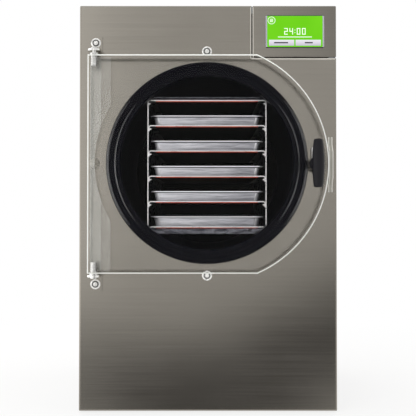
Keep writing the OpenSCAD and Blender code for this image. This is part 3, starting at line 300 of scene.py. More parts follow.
def gasket_rubber():
    """Moulded black silicone rubber, near black, with a gloss coat laid on its two sealing lips only at
    either side, a painted sheen that lets the lamps draw thin arcs of light there."""
    material, tree, shader = new_material("gasket_rubber", "#08080c", 0.3)
    shader.inputs["Specular IOR Level"].default_value = 0.03
    handled = grain(tree, (14, 14, 14), 2, clip=(0.3, 0.7))
    drive(tree, shader, handled, ("#05050a", "#09090e"), (0.27, 0.33))
    inner_lip, outer_lip = (181.2 * MM, 183.4 * MM), (194.8 * MM, 198.6 * MM)
    radius = from_axis(tree)
    inner = band(tree, radius, *inner_lip, 0.5 * MM)
    outer = band(tree, radius, *outer_lip, 0.8 * MM)
    lips = add(tree, "ShaderNodeMath", {0: inner, 1: outer}, operation="ADD").outputs[0]
    across = from_axis(tree, (1, 0, 0))
    aside = add(tree, "ShaderNodeMath", {0: across, 1: radius}, operation="DIVIDE").outputs[0]
    at_sides = add(tree, "ShaderNodeMapRange", {0: aside, 1: 0.72, 2: 0.93},
                   interpolation_type="SMOOTHSTEP").outputs[0]
    # painted sheen: the gloss coat lies on the lips only towards the left and right sides
    painted_sheen = add(tree, "ShaderNodeMath", {0: lips, 1: at_sides}, operation="MULTIPLY").outputs[0]
    tree.links.new(painted_sheen, shader.inputs["Coat Weight"])
    shader.inputs["Coat Roughness"].default_value = 0.14
    shader.inputs["Coat IOR"].default_value = 1.8
    return material


def drum_coating():
    """The drum's dark bare steel, which sees nothing but itself: near black, with faint turning marks."""
    material, tree, shader = new_material("drum_coating", "#0b0b10", 0.5)
    shader.inputs["Specular IOR Level"].default_value = 0.2
    turned = grain(tree, (60, 6, 60), 3, clip=(0.3, 0.7))
    drive(tree, shader, turned, ("#08080c", "#0f0f14"), (0.44, 0.56))
    return material


def insulation():
    """Sprayed insulating foam: a dimpled cream skin."""
    material, tree, shader = new_material("insulation", "#ddd2ae", 0.85)
    drive(tree, shader, grain(tree, (9, 9, 9), 4), ("#cfc197", "#e8dfc2"), (0.8, 0.92), 1.2)
    return material


def copper_tube():
    """Drawn copper tube, dulled by handling."""
    material, tree, shader = new_material("copper_tube", "#b87548", 0.35, 1.0)
    dulled = grain(tree, (18, 18, 18), 4, clip=(0.35, 0.65))
    drive(tree, shader, dulled, ("#a2623c", "#c58353"), (0.28, 0.46))
    return material


def rack_stainless():
    """Stainless strip, bright along its front edges and coloured near black behind them: painted shade for
    the drum's shadow."""
    material, tree, shader = new_material("rack_stainless", "#e3e1e0", 0.28, 0.85)
    rolled = grain(tree, (40, 40, 8), 3, clip=(0.3, 0.7))
    drive(tree, shader, rolled, ("#d4d2d2", "#f0eeec"), (0.24, 0.34))
    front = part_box("rack_side_left")[0].y
    depth = split(tree)[1]
    behind = add(tree, "ShaderNodeMapRange", {0: depth, 1: front + 1.5 * MM, 2: front + 6 * MM}).outputs[0]
    # painted shade: near black behind the front edges
    paint(tree, shader, behind, "#26252a")
    return material


def bright_edge():
    """A sheared and folded edge of bare stainless, coloured brighter than the brushed face beside it: a
    painted highlight for the light that the fold catches.
    """
    material, tree, shader = new_material("bright_edge", "#c9c5bb", 0.3, 0.6)
    sheared = grain(tree, (40, 40, 40), 2, clip=(0.3, 0.7))
    drive(tree, shader, sheared, ("#c2beb4", "#d6d2c9"), (0.26, 0.36))
    return material


def mat_silicone():
    """Silicone rubber cast round heating wires: brick red along the front edge, and coloured near black
    behind
    it: painted shade for the rack's shadow."""
    material, tree, shader = new_material("mat_silicone", "#8a2f22", 0.6)
    shader.inputs["Specular IOR Level"].default_value = 0.2
    cast = grain(tree, (12, 12, 12), 3, clip=(0.3, 0.7))
    drive(tree, shader, cast, ("#ad3620", "#cf5636"), (0.52, 0.66))
    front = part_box("heater_mats")[0].y
    depth = split(tree)[1]
    behind = add(tree, "ShaderNodeMapRange", {0: depth, 1: front + 0.5 * MM, 2: front + 2 * MM}).outputs[0]
    # painted shade: near black behind the front edge
    paint(tree, shader, behind, "#100c0d")
    return material


def kitchen_foil():
    """Aluminium foil, coloured dark grey as painted shade, with brighter patches as painted highlights where
    creases turn to the light.
    """
    material, tree, shader = new_material("kitchen_foil", "#6c6c74", 0.34, 1.0)
    # painted shade and highlights: the foil's grey and its brighter patches
    painted_shade_and_glints = grain(tree, (22, 9, 4), 3, clip=(0.35, 0.65))
    drive(tree, shader, painted_shade_and_glints, ("#45454c", "#85858c"), (0.28, 0.42))
    return material


def blackened_foil():
    """Foil, dulled, and coloured near black as painted shade where it faces the drum's black wall."""
    # painted shade: the foil's colour is near black all over
    material, tree, shader = new_material("blackened_foil", "#1c1c21", 0.5, 0.6)
    painted_shade_mottle = grain(tree, (9, 9, 9), 3, clip=(0.35, 0.65))
    drive(tree, shader, painted_shade_mottle, ("#131317", "#2b2b31"), (0.4, 0.6))
    return material


def tray_stainless():
    """Deep-drawn stainless: a rolled rim coloured bright as a painted highlight, a dark line of painted
    shadow tucked under it, level streaks below where the sheet slid over the die, coloured brighter at the
    left as painted light, and front corners coloured bright as painted highlights."""
    material, tree, shader = new_material("tray_stainless", "#b9b8bf", 0.36, 0.6)
    low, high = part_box("tray_1")
    pitch = high.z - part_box("tray_2")[1].z
    rim, shaded, soft = 1.7 * MM, 3.4 * MM, 0.3 * MM
    # the corners come inwards with the sides' slant
    corner, corner_wide, corner_deep, slant = 103.8 * MM, 5 * MM, 16 * MM, 0.2
    x, y, z = split(tree)
    # painted light: the streaks are coloured brighter towards the left
    painted_light_left = add(tree, "ShaderNodeMapRange", {0: x, 1: -100 * MM, 2: 60 * MM, 3: 0.5, 4: 0.0}).outputs[0]
    streaks = grain(tree, (55, 40, 3), 4, 0.6, (0.32, 0.68))
    streaks = add(tree, "ShaderNodeMath", {0: streaks, 1: 0.62, 2: painted_light_left},
                  operation="MULTIPLY_ADD").outputs[0]
    drive(tree, shader, streaks, ("#8b8a92", "#f8f7fc"), (0.3, 0.44), 0.05)
    below = add(tree, "ShaderNodeMath", {0: high.z, 1: z}, operation="SUBTRACT").outputs[0]
    below = add(tree, "ShaderNodeMath", {0: below, 1: pitch}, operation="FLOORED_MODULO").outputs[0]
    # painted highlights: the front corners are coloured near white
    aside = from_axis(tree, (1, 0, 0))
    aside = add(tree, "ShaderNodeMath", {0: below, 1: slant, 2: aside}, operation="MULTIPLY_ADD").outputs[0]
    in_front = add(tree, "ShaderNodeMath", {0: y, 1: low.y + corner_deep}, operation="LESS_THAN").outputs[0]
    ends = band(tree, aside, corner - corner_wide, corner, 1 * MM)
    ends = add(tree, "ShaderNodeMath", {0: ends, 1: in_front}, operation="MULTIPLY").outputs[0]
    paint(tree, shader, ends, "#fbfafd")
    # painted shadow: a dark line under the rim
    paint(tree, shader, band(tree, below, rim, shaded, soft), "#39383e")
    # painted highlight: the rolled rim is coloured near white
    paint(tree, shader, band(tree, below, -1 * MM, rim, soft), "#f3f2f5")
    return material


def black_powder_coat():
    """Black powder coat, baked to a fine orange peel."""
    material, tree, shader = new_material("black_powder_coat", "#1d1d20", 0.42)
    drive(tree, shader, grain(tree, (1.6, 1.6, 1.6), 2), ("#19191c", "#222226"), (0.36, 0.48), 0.05)
    return material


def fin_aluminium():
    """Thin bare aluminium fins."""
    material, tree, shader = new_material("fin_aluminium", "#a0a2a4", 0.4, 1.0)
    drive(tree, shader, grain(tree, (10, 10, 30), 3), ("#8f9193", "#b0b2b3"), (0.34, 0.5))
    return material


def moulded_black(name="moulded_black"):
    """Black ABS from a spark-eroded mould: a fine even grain that breaks up the highlight."""
    material, tree, shader = new_material(name, "#0b0a10", 0.46, IOR=1.35)
    drive(tree, shader, grain(tree, (0.9, 0.9, 0.9), 2), ("#09080d", "#0f0e14"), (0.42, 0.56), 0.03)
    return material


def cast_brass():
    """Machined brass, slightly tarnished."""
    material, tree, shader = new_material("cast_brass", "#c4ab70", 0.32, 1.0)
    tarnished = grain(tree, (6, 6, 6), 4, clip=(0.35, 0.65))
    drive(tree, shader, tarnished, ("#a98f57", "#cfb87e"), (0.26, 0.42))
    return material


def red_vinyl():
    """The lever's dipped red vinyl sleeve."""
    material, tree, shader = new_material("red_vinyl", "#b3262a", 0.34)
    drive(tree, shader, grain(tree, (4, 4, 4), 3), ("#a52024", "#bd2f31"), (0.28, 0.42), 0.05)
    return material


def satin_grey_plastic():
    """The screen's moulded surround: satin silver grey uprights between level bars coloured near black as
    painted shade.
    """
    material, tree, shader = new_material("satin_grey_plastic", "#a9a8b2", 0.38, IOR=1.5)
    drive(tree, shader, grain(tree, (1.2, 1.2, 1.2), 2), ("#a2a1ab", "#b1b0ba"), (0.34, 0.44), 0.03)
    # painted shade: the bars above and below the glass are coloured near black
    level = band(tree, split(tree)[2], glass_low.z, glass_high.z, 0.1 * MM)
    bars = add(tree, "ShaderNodeMath", {0: 1.0, 1: level}, operation="SUBTRACT").outputs[0]
    paint(tree, shader, bars, "#2a2a30")
    return material


def lit_display():
    """A backlit colour display behind glass, showing a plain green ground that is a little uneven."""
    material, tree, shader = new_material("lit_display", "#0d1c05", 0.15)
    shader.inputs["Specular IOR Level"].default_value = 0.15
    uneven = grain(tree, (60, 60, 60), 1, clip=(0.2, 0.8))
    shine(tree, shader, uneven, ("#6bcf08", "#76d816"), 1.0)
    return material


def lit_button():
    """The display's pale touch keys, a little darker towards their lower edge."""
    material, tree, shader = new_material("lit_button", "#6e6c74", 0.12)
    rise = add(tree, "ShaderNodeMapRange", {0: split(tree)[2], 1: KEYS[0], 2: KEYS[1]}).outputs[0]
    shine(tree, shader, rise, ("#bcb7c6", "#efedf3"), 0.8)
    return material


def lit_white():
    """The display's white marks."""
    material, _, shader = new_material("lit_white", "#8a8f86", 0.15)
    shader.inputs["Emission Color"].default_value = linear("#f4fbe8")
    shader.inputs["Emission Strength"].default_value = 0.9
    return material


def key_ink():
    """The display's dark marks on its pale keys."""
    return new_material("key_ink", "#34323c", 0.15)[0]


def circuit_resin():
    """Glass-fibre board under green lacquer."""
    material, tree, shader = new_material("circuit_resin", "#2b6b40", 0.35)
    drive(tree, shader, grain(tree, (2, 2, 2), 2), ("#256038", "#327748"), (0.3, 0.42))
    return material


def bright_plating():
    """Nickel-plated steel: a clean bright metal with slight wear."""
    material, tree, shader = new_material("bright_plating", "#d6d5d2", 0.2, 1.0)
    worn = grain(tree, (5, 5, 5), 4, clip=(0.35, 0.65))
    drive(tree, shader, worn, ("#c6c5c2", "#e2e1de"), (0.14, 0.28))
    return material


def hinge_stainless():
    """The hinge brackets: plates of the cabinet's brushed sheet, with tabs that stand out from them coloured
    near white."""
    material = brushed_stainless("hinge_stainless")
    tree = material.node_tree
    plates = FRONT_Y - 4.5 * MM
    tabs = add(tree, "ShaderNodeMath", {0: split(tree)[1], 1: plates}, operation="LESS_THAN").outputs[0]
    paint(tree, tree.nodes["Principled BSDF"], tabs, "#f1f0ec")
    return material


def strike_stainless():
    """The strike: satin sheet with painted highlights along its two upright edges."""
    material, tree, shader = new_material("strike_stainless", "#a3a197", 0.45, 0.5)
    drive(tree, shader, grain(tree, (6, 6, 40), 3), ("#97958b", "#a7a59b"), (0.4, 0.5))
    low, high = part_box("strike_plate")
    edge = 1.8 * MM
    # painted highlights: a pale band along each upright edge
    for start in (low.x, high.x - edge):
        paint(tree, shader, band(tree, split(tree)[0], start, start + edge, 0.2 * MM), "#d8d6cf")
    return material


def screw_plating():
    """Domed screw heads in bright zinc: a dark line runs round each dome at one height, and the head level
    with the drum's axis is coloured in the steel's own tone."""
    material, tree, shader = new_material("screw_plating", "#e9e8e4", 0.28, 0.55)
    worn = grain(tree, (5, 5, 5), 4, clip=(0.35, 0.65))
    drive(tree, shader, worn, ("#dddcd8", "#f6f5f1"), (0.22, 0.34))
    # every head is as tall as a bracket is thick, so height repeats on the heads that stand on brackets
    head, ring_low, ring_high, near = 4 * MM, 2.7 * MM, 3.3 * MM, 20 * MM
    height = add(tree, "ShaderNodeMath", {0: FRONT_Y, 1: split(tree)[1]}, operation="SUBTRACT").outputs[0]
    height = add(tree, "ShaderNodeMath", {0: height, 1: head}, operation="FLOORED_MODULO").outputs[0]
    paint(tree, shader, band(tree, height, ring_low, ring_high, 0.25 * MM), "#4a4a48")
    away = from_axis(tree, (0, 0, 1))
    level = add(tree, "ShaderNodeMath", {0: away, 1: near}, operation="LESS_THAN").outputs[0]
    paint(tree, shader, level, "#8d897f")
    return material


def lets_through(material, rays, share=1.0):
    """Lets this share of one kind of ray pass a material as if it weren't there."""
    tree = material.node_tree
    shader, out = tree.nodes["Principled BSDF"], tree.nodes["Material Output"]
    path = add(tree, "ShaderNodeLightPath")
    clear = add(tree, "ShaderNodeBsdfTransparent", {"Color": (share, share, share, 1)})
    mixed = add(tree, "ShaderNodeMixShader",
                {0: path.outputs[rays], 1: shader.outputs[0], 2: clear.outputs[0]})
    tree.links.new(mixed.outputs[0], out.inputs["Surface"])


def lets_lamps_through(material):
    """Lamplight passes a clear material without bending, so that what lies behind is lit evenly."""
    lets_through(material, "Is Shadow Ray", 0.97)


def grip_black():
    """The handle's black ABS. Its mirror image is too blurred to see in the brushed panel close behind it,
    so mirrored rays pass it."""
    material = moulded_black("grip_black")
    lets_through(material, "Glossy Depth")
    return material


def cast_acrylic():
    """Clear cast acrylic sheet with polished faces. The index is lower than bare acrylic's 1.49, so that the
    faces throw back as little as coated ones do and the dark drum behind stays dark."""
    material, _, shader = new_material("cast_acrylic", "#ffffff", 0.0, IOR=1.13)
    shader.inputs["Transmission Weight"].default_value = 1.0
    lets_lamps_through(material)
    return material


def machined_acrylic():
    """The acrylic's routed chamfer, frosted and near white: partly its own whitish tone, partly a painted
    highlight for the light that the sheet carries to it.
    """
    material, tree, shader = new_material("machined_acrylic", "#f6f7f2", 0.35, IOR=1.49)
    shader.inputs["Transmission Weight"].default_value = 0.15
    drive(tree, shader, grain(tree, (8, 8, 0.8), 2), ("#eceee8", "#fcfdf9"), (0.28, 0.42))
    lets_lamps_through(material)
    return material


def handling_haze(name, cover):
    """A thin grey bloom on the acrylic from handling and wiping, which covers this share of what is
    behind."""
    material, tree, shader = new_material(name, "#e9eae4", 0.5)
    shader.inputs["Alpha"].default_value = cover
    wiped = grain(tree, (12, 12, 60), 3, clip=(0.3, 0.7))
    drive(tree, shader, wiped, ("#e3e4dd", "#eff0eb"), (0.45, 0.55))
    return material


finishes = {
    "brushed_steel": brushed_stainless(),
    "frame_steel": galvanised(),
    "black_rubber": gasket_rubber(),
    "drum_steel": drum_coating(),
    "foam": insulation(),
    "copper": copper_tube(),
    "rack_steel": rack_stainless(),
    "red_silicone": mat_silicone(),
    "foil": kitchen_foil(),
    "tray_steel": tray_stainless(),
    "black_enamel": black_powder_coat(),
    "condenser_aluminium": fin_aluminium(),
    "black_plastic": moulded_black(),
    "valve_brass": cast_brass(),
    "lever_steel": red_vinyl(),
    "bezel_plastic": satin_grey_plastic(),
    "screen_glass": lit_display(),
    "circuit_board": circuit_resin(),
    "plated_steel": bright_plating(),
    "clear_acrylic": cast_acrylic(),
}


def finish_cad_nodes():
    """Gives every node of the frame the material of its slot, or one of its own."""
    hinge = hinge_stainless()
    own = {
        "control_fascia": fascia_stainless(),
        "hinge_bracket_top": hinge,
        "hinge_bracket_bottom": hinge,
        "strike_plate": strike_stainless(),
        "panel_screws": screw_plating(),
        "latch_handle": grip_black(),
    }
    for part in frame["record"]["subparts"]:
        mesh = frame["nodes"][part["node"]].data
        mesh.materials.clear()
        mesh.materials.append(own.get(part["node"], finishes[part["material_slot"]]))


finish_cad_nodes()


# ---- Door ----

def door_sheet():
    """The D-shaped clear sheet: square corners at the hinge side, a round side at the latch, and a chamfer
    round its front, which shows as a bright line."""
    chamfer, round_side, steps = 2.6 * MM, 234.5 * MM, 72
    half = (door_high.z - door_low.z) / 2
    latch_low, latch_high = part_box("latch_hub")
    axis_z = (latch_low.z + latch_high.z) / 2
    centre_x = door_high.x - round_side
    reach = math.asin(half / round_side)
    outline = [(door_low.x, door_low.z), (door_low.x, door_high.z)]
    for i in range(steps + 1):
        turn = reach - 2 * reach * i / steps
        outline.append((centre_x + round_side * math.cos(turn), axis_z + round_side * math.sin(turn)))
    bm = slab(outline, door_low.y, door_high.y - door_low.y)
    tiny = 0.001 * MM
    rims = [e for e in bm.edges if max(v.co.y for v in e.verts) < door_low.y + tiny]
    bmesh.ops.bevel(bm, geom=rims, offset=chamfer, segments=1, affect="EDGES")
    bmesh.ops.recalc_face_normals(bm, faces=bm.faces)
    for face in bm.faces:
        # the chamfer alone turns halfway to the front
        face.material_index = int(-0.99 < face.normal.y < -0.3)
    finish = [finishes["clear_acrylic"], machined_acrylic()]
    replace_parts(piece("door_sheet", bm, finish, "door"), "door_pane")


def hinge_haze():
    """Two hazed strips along the hinges, skins on the sheet's inner face that keep off the gasket's round;
    the second is fainter."""
    thick, inset, first, second = 0.1 * MM, 3 * MM, 25 * MM, 44 * MM
    round_off, steps = 222 * MM, 48
    axis = (drum_low + drum_high) / 2
    low_z, high_z = door_low.z + inset, door_high.z - inset
    near, far = handling_haze("near_haze", 0.13), handling_haze("far_haze", 0.05)
    for start, end, finish in ((inset, first, near), (first, second, far)):
        outline = [(door_low.x + start, high_z), (door_low.x + start, low_z)]
        for i in range(steps + 1):
            z = low_z + (high_z - low_z) * i / steps
            round_x = axis.x - math.sqrt(round_off ** 2 - (z - axis.z) ** 2)
            outline.append((max(min(door_low.x + end, round_x), door_low.x + start + thick), z))
        bm = slab(outline, door_high.y, thick)
        bmesh.ops.recalc_face_normals(bm, faces=bm.faces)
        piece(finish.name, bm, [finish], "door")


door_sheet()
hinge_haze()


# ---- Rack ----

def crinkled_foil_tree():
    """A block whose skin is pushed about by noise and left unsmoothed, as crumpled foil is."""
    tree, given = new_tree("crinkled_foil", Size="Vector", Middle="Vector", Facet="Float", Depth="Float",
                           Finish="Material")
    seed = 3.0
    size = add(tree, "ShaderNodeSeparateXYZ", {0: given["Size"]}).outputs
    counts = []
    for axis in size:
        share = add(tree, "ShaderNodeMath", {0: axis, 1: given["Facet"]}, operation="DIVIDE").outputs[0]
        counts.append(add(tree, "ShaderNodeMath", {0: share, 1: 2.0}, operation="ADD").outputs[0])
    block = add(tree, "GeometryNodeMeshCube", {"Size": given["Size"], "Vertices X": counts[0],
                                               "Vertices Y": counts[1], "Vertices Z": counts[2]})
    placed = add(tree, "GeometryNodeTransform",
                 {"Geometry": block.outputs[0], "Translation": given["Middle"]})
    place = add(tree, "GeometryNodeInputPosition").outputs[0]
    crumple = add(tree, "ShaderNodeTexWhiteNoise", {"Vector": place, "W": seed}, noise_dimensions="4D")
    centred = add(tree, "ShaderNodeVectorMath", {0: crumple.outputs["Color"], 1: (0.5, 0.5, 0.5)},
                  operation="SUBTRACT")
    push = add(tree, "ShaderNodeVectorMath", {0: centred.outputs[0], "Scale": given["Depth"]},
               operation="SCALE")
    moved = add(tree, "GeometryNodeSetPosition", {"Geometry": placed.outputs[0], "Offset": push.outputs[0]})
    facets = add(tree, "GeometryNodeTriangulate", {"Mesh": moved.outputs[0]})
    end_tree(tree, facets.outputs[0], given["Finish"])
    return tree


def drawn_in(shape, low, high):
    """Draws a pad's sides in to the round of the drum, which cuts it off at a slant."""
    rack_reach = 172.8 * MM       # how far the rack's pieces reach from the drum's axis
    axis = (drum_low + drum_high) / 2
    least = min(abs(low.z - axis.z), abs(high.z - axis.z))
    widest = math.sqrt(rack_reach ** 2 - least ** 2)
    for corner in shape.vertices:
        reach = math.sqrt(rack_reach ** 2 - (corner.co.z - axis.z) ** 2)
        corner.co.x = axis.x + (corner.co.x - axis.x) * reach / widest


def foil_pads():
    """The crumpled foil round the pads above and below the shelves, the upper one coloured near black as
    painted shade, and the folded hem of the upper one, which is all of it that catches the light."""
    tree = crinkled_foil_tree()
    depth = 1.8 * MM
    for node, finish in (("foil_pad_top", blackened_foil()), ("foil_pad_bottom", finishes["foil"])):
        low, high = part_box(node)
        size = high - low - Vector((1, 1, 1)) * depth
        shape = grown(tree, Size=size, Middle=(low + high) / 2, Facet=6.5 * MM, Depth=depth, Finish=finish)
        drawn_in(shape, low, high)
        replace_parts(piece(node.replace("pad", "wrap"), shape), node)
    low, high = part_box("foil_pad_top")
    rolled, inset = 1.6 * MM, 7 * MM
    size = Vector((high.x - low.x - 2 * inset, rolled, rolled))
    middle = Vector(((low.x + high.x) / 2, low.y + rolled / 2, high.z - rolled))
    hem = grown(tree, Size=size, Middle=middle, Facet=3 * MM, Depth=0.8 * MM, Finish=finishes["foil"])
    piece("foil_hem", hem)


def row_tree():
    """Copies of one small piece along a straight row, all turned the same way."""
    tree, given = new_tree("row", Unit="Object", Count="Int", Start="Vector", Step="Vector", Turn="Vector",
                           Finish="Material")
    line = add(tree, "GeometryNodeMeshLine", {"Count": given["Count"], "Start Location": given["Start"],
                                              "Offset": given["Step"]}).outputs[0]
    unit = add(tree, "GeometryNodeObjectInfo", {"Object": given["Unit"]}).outputs["Geometry"]
    turn = add(tree, "FunctionNodeEulerToRotation", {0: given["Turn"]}).outputs[0]
    copies = add(tree, "GeometryNodeInstanceOnPoints", {"Points": line, "Instance": unit, "Rotation": turn})
    end_tree(tree, copies.outputs[0], given["Finish"])
    return tree


def in_rows(name, bm, rows, slot):
    """One piece of many copies, in rows given as (count, start, step, turn in degrees)."""
    unit = linked(name + "_unit", mesh_of(bm, name))
    tree = row_tree()
    whole = bmesh.new()
    for count, start, step, turn in rows:
        turned = [math.radians(a) for a in turn]
        whole.from_mesh(grown(tree, Unit=unit, Count=count, Start=start, Step=step, Turn=turned,
                              Finish=finishes[slot]))
    bpy.data.objects.remove(unit)
    return piece(name, whole, [finishes[slot]])


def fold_tab():
    """The small hook that is bent out of a shelf's folded edge to hold it in the rack's side."""
    thick = 1.6 * MM
    outline = [(0, 0), (4.6, -0.6), (4.6, -2.0), (0, -4.2)]
    bm = slab([(x * MM, z * MM) for x, z in outline], -thick / 2, thick)
    bmesh.ops.bevel(bm, geom=bm.edges[:], offset=0.3 * MM, segments=1, affect="EDGES")
    bmesh.ops.recalc_face_normals(bm, faces=bm.faces)
    return bm


def fold_tabs():
    """A tab under each end of the upper five shelves, at the front."""
    first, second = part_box("shelf_1"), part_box("shelf_2")
    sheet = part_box("rack_side_left")[1].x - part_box("rack_side_left")[0].x
    pitch = first[1].z - second[1].z
    below, behind = 6.0 * MM, 0.9 * MM
    y = first[0].y + behind
    rows = []
    for (low, high), count in ((first, 1), (second, 4)):
        z = high.z - below
        rows.append((count, (low.x + sheet, y, z), (0, 0, -pitch), (0, 0, 0)))
        rows.append((count, (high.x - sheet, y, z), (0, 0, -pitch), (0, 0, 180)))
    smooth(in_rows("fold_tabs", fold_tab(), rows, "rack_steel"))


foil_pads()
fold_tabs()


# ---- Cabinet ----

def pan_head():
    """A pan-headed sheet screw's head, with its cross recess, standing along Z."""
    around, arm, half_arm, sink, narrowing = 16, 2.0 * MM, 0.45 * MM, 1.3 * MM, 0.8
    profile = [(4.0, 0.0), (4.0, 0.5), (3.7, 1.4), (3.1, 2.0), (2.4, 2.3)]
    bm = bmesh.new()
    turns = [2 * math.pi * k / around for k in range(around)]
    rings = [[bm.verts.new((r * MM * math.cos(t), r * MM * math.sin(t), z * MM)) for t in turns]
             for r, z in profile]
    for lower, upper in zip(rings, rings[1:]):
        for k in range(around):
            n = (k + 1) % around
            bm.faces.new((lower[k], lower[n], upper[n], upper[k]))
    bm.faces.new(rings[0][::-1])
    top = profile[-1][1] * MM
    quarter = [(arm, -half_arm), (arm, half_arm), (half_arm, half_arm)]
    cross = []
    for turn in range(4):
        c, s = round(math.cos(turn * math.pi / 2)), round(math.sin(turn * math.pi / 2))
        cross += [(x * c - y * s, x * s + y * c) for x, y in quarter]
    mouth = [bm.verts.new((x, y, top)) for x, y in cross]
    pit = [bm.verts.new((x * narrowing, y * narrowing, top - sink)) for x, y in cross]
    count = len(cross)
    for k in range(count):
        n = (k + 1) % count
        bm.faces.new((mouth[k], mouth[n], pit[n], pit[k]))
    bm.faces.new(pit)
    edges = [bm.edges.get(pair) for loop in (rings[-1], mouth) for pair in zip(loop, loop[1:] + loop[:1])]
    bmesh.ops.triangle_fill(bm, edges=edges, use_beauty=True)
    bmesh.ops.recalc_face_normals(bm, faces=bm.faces)
    return bm


def sheet_screws():
    """The screws that hold the wrap and the back panel to the frame: up the rear edges, under the top and
    along the base."""
    low_z, step_z, count_z = 45 * MM, 145 * MM, 6
    rear_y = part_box("cabinet_wrap")[1].y - 12 * MM
    base_z, base_y, step_y = 27 * MM, -215 * MM, 165 * MM
    top_z, top_x = TOP_Z - 12 * MM, 170 * MM
    rows = [(3, (-top_x, BACK_Y, top_z), (top_x, 0, 0), (-90, 0, 0))]
    for side_x, turn in ((LEFT_X, -90), (RIGHT_X, 90)):
        edge_x = side_x - math.copysign(10 * MM, side_x)
        rows.append((count_z, (edge_x, BACK_Y, low_z), (0, 0, step_z), (-90, 0, 0)))
        rows.append((count_z, (side_x, rear_y, low_z), (0, 0, step_z), (0, turn, 0)))
        rows.append((3, (side_x, base_y, base_z), (0, step_y, 0), (0, turn, 0)))
    smooth(in_rows("sheet_screws", pan_head(), rows, "plated_steel"))


def bead(bm, ends, half, bulge):
    """Adds a slightly rounded strip between two points to a mesh that is being built, facing forwards."""
    steps = 8
    turns = [math.pi * (k / steps - 0.5) for k in range(steps + 1)]
    along = (Vector(ends[1]) - Vector(ends[0])).normalized()
    across = Vector((0, -1, 0)).cross(along) * half
    forwards = Vector((0, -bulge, 0))
    bow = [across * math.sin(t) + forwards * math.cos(t) for t in turns]
    loops = [[bm.verts.new(Vector(end) + out) for out in bow] for end in ends]
    for k in range(steps):
        bm.faces.new((loops[0][k], loops[0][k + 1], loops[1][k + 1], loops[1][k]))
    bm.faces.new((loops[0][0], loops[1][0], loops[1][-1], loops[0][-1]))
    for loop in loops:
        bm.faces.new(loop)


def seam_beads():
    """The bright folded edges that show in the seams under and beside the control fascia."""
    low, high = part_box("control_fascia")
    y, bulge = FRONT_Y + 0.2 * MM, 0.4 * MM
    under, right_end, top_end = low.z - 3.0 * MM, high.x - 2.5 * MM, high.z - 3 * MM
    bm = bmesh.new()
    bead(bm, ((low.x - 2 * MM, y, under), (right_end, y, under)), 1.6 * MM, bulge)
    for beside in (low.x - 3.2 * MM, low.x + 1.4 * MM):
        bead(bm, ((beside, y, under), (beside, y, top_end)), 1.0 * MM, bulge)
    bmesh.ops.recalc_face_normals(bm, faces=bm.faces)
    smooth(piece("seam_beads", bm, [bright_edge()]))


sheet_screws()
seam_beads()


# ---- Display marks ----

def plate(bm, x0, x1, z0, z1, thick, out=0.0, material=0):
    """Adds a thin closed plate to a mesh that is being built, this far out in front of the display's
    glass."""
    y = glass_low.y - out
    low, high = Vector((x0, y - thick, z0)), Vector((x1, y, z1))
    place = Matrix.Translation((high + low) / 2) @ Matrix.Diagonal((*(high - low), 1))
    corners = bmesh.ops.create_cube(bm, size=1.0, matrix=place)["verts"]
    for face in {face for corner in corners for face in corner.link_faces}:
        face.material_index = material


def ring(bm, centre, inner, outer, thick):
    """A flat ring on the display's glass."""
    steps = 40
    turned = Matrix.Translation(centre) @ Matrix.Rotation(math.radians(90), 4, "X")
    for i in range(steps):
        a, b = (2 * math.pi * k / steps for k in (i, i + 1))
        v = [bm.verts.new(turned @ Vector((r * math.cos(t), r * math.sin(t), h)))
             for h in (0, thick) for r, t in ((inner, a), (outer, a), (outer, b), (inner, b))]
        for loop in ((0, 3, 2, 1), (4, 5, 6, 7), (1, 2, 6, 5), (0, 4, 7, 3)):
            bm.faces.new([v[k] for k in loop])


# the lit bars of each figure on the clock, in this order: top, middle, bottom, upper left, upper right,
# lower left, lower right
LIT = {"0": (0, 2, 3, 4, 5, 6), "2": (0, 1, 2, 4, 5), "4": (1, 3, 4, 6)}


def clock(bm, mid, base, thick):
    """A plain count of hours and minutes in seven-bar figures, with two dots between."""
    wide, tall, stroke, pitch, closer = 7.0 * MM, 13.0 * MM, 1.5 * MM, 10.5 * MM, 0.3
    half = tall / 2
    for place, figure in ((-2, "2"), (-1, "4"), (1, "0"), (2, "0")):
        x = mid + (place - math.copysign(closer, place)) * pitch - wide / 2
        level = [(x, x + wide, base + k * (tall - stroke) / 2) for k in (2, 1, 0)]
        bars = [(x0, x1, z, z + stroke) for x0, x1, z in level]
        bars += [(x + side, x + side + stroke, base + up, base + up + half)
                 for up in (half, 0) for side in (0, wide - stroke)]
        for k in LIT[figure]:
            plate(bm, *bars[k], thick)
    for up in (0.25, 0.65):
        z = base + up * tall
        plate(bm, mid - stroke / 2, mid + stroke / 2, z, z + stroke, thick)


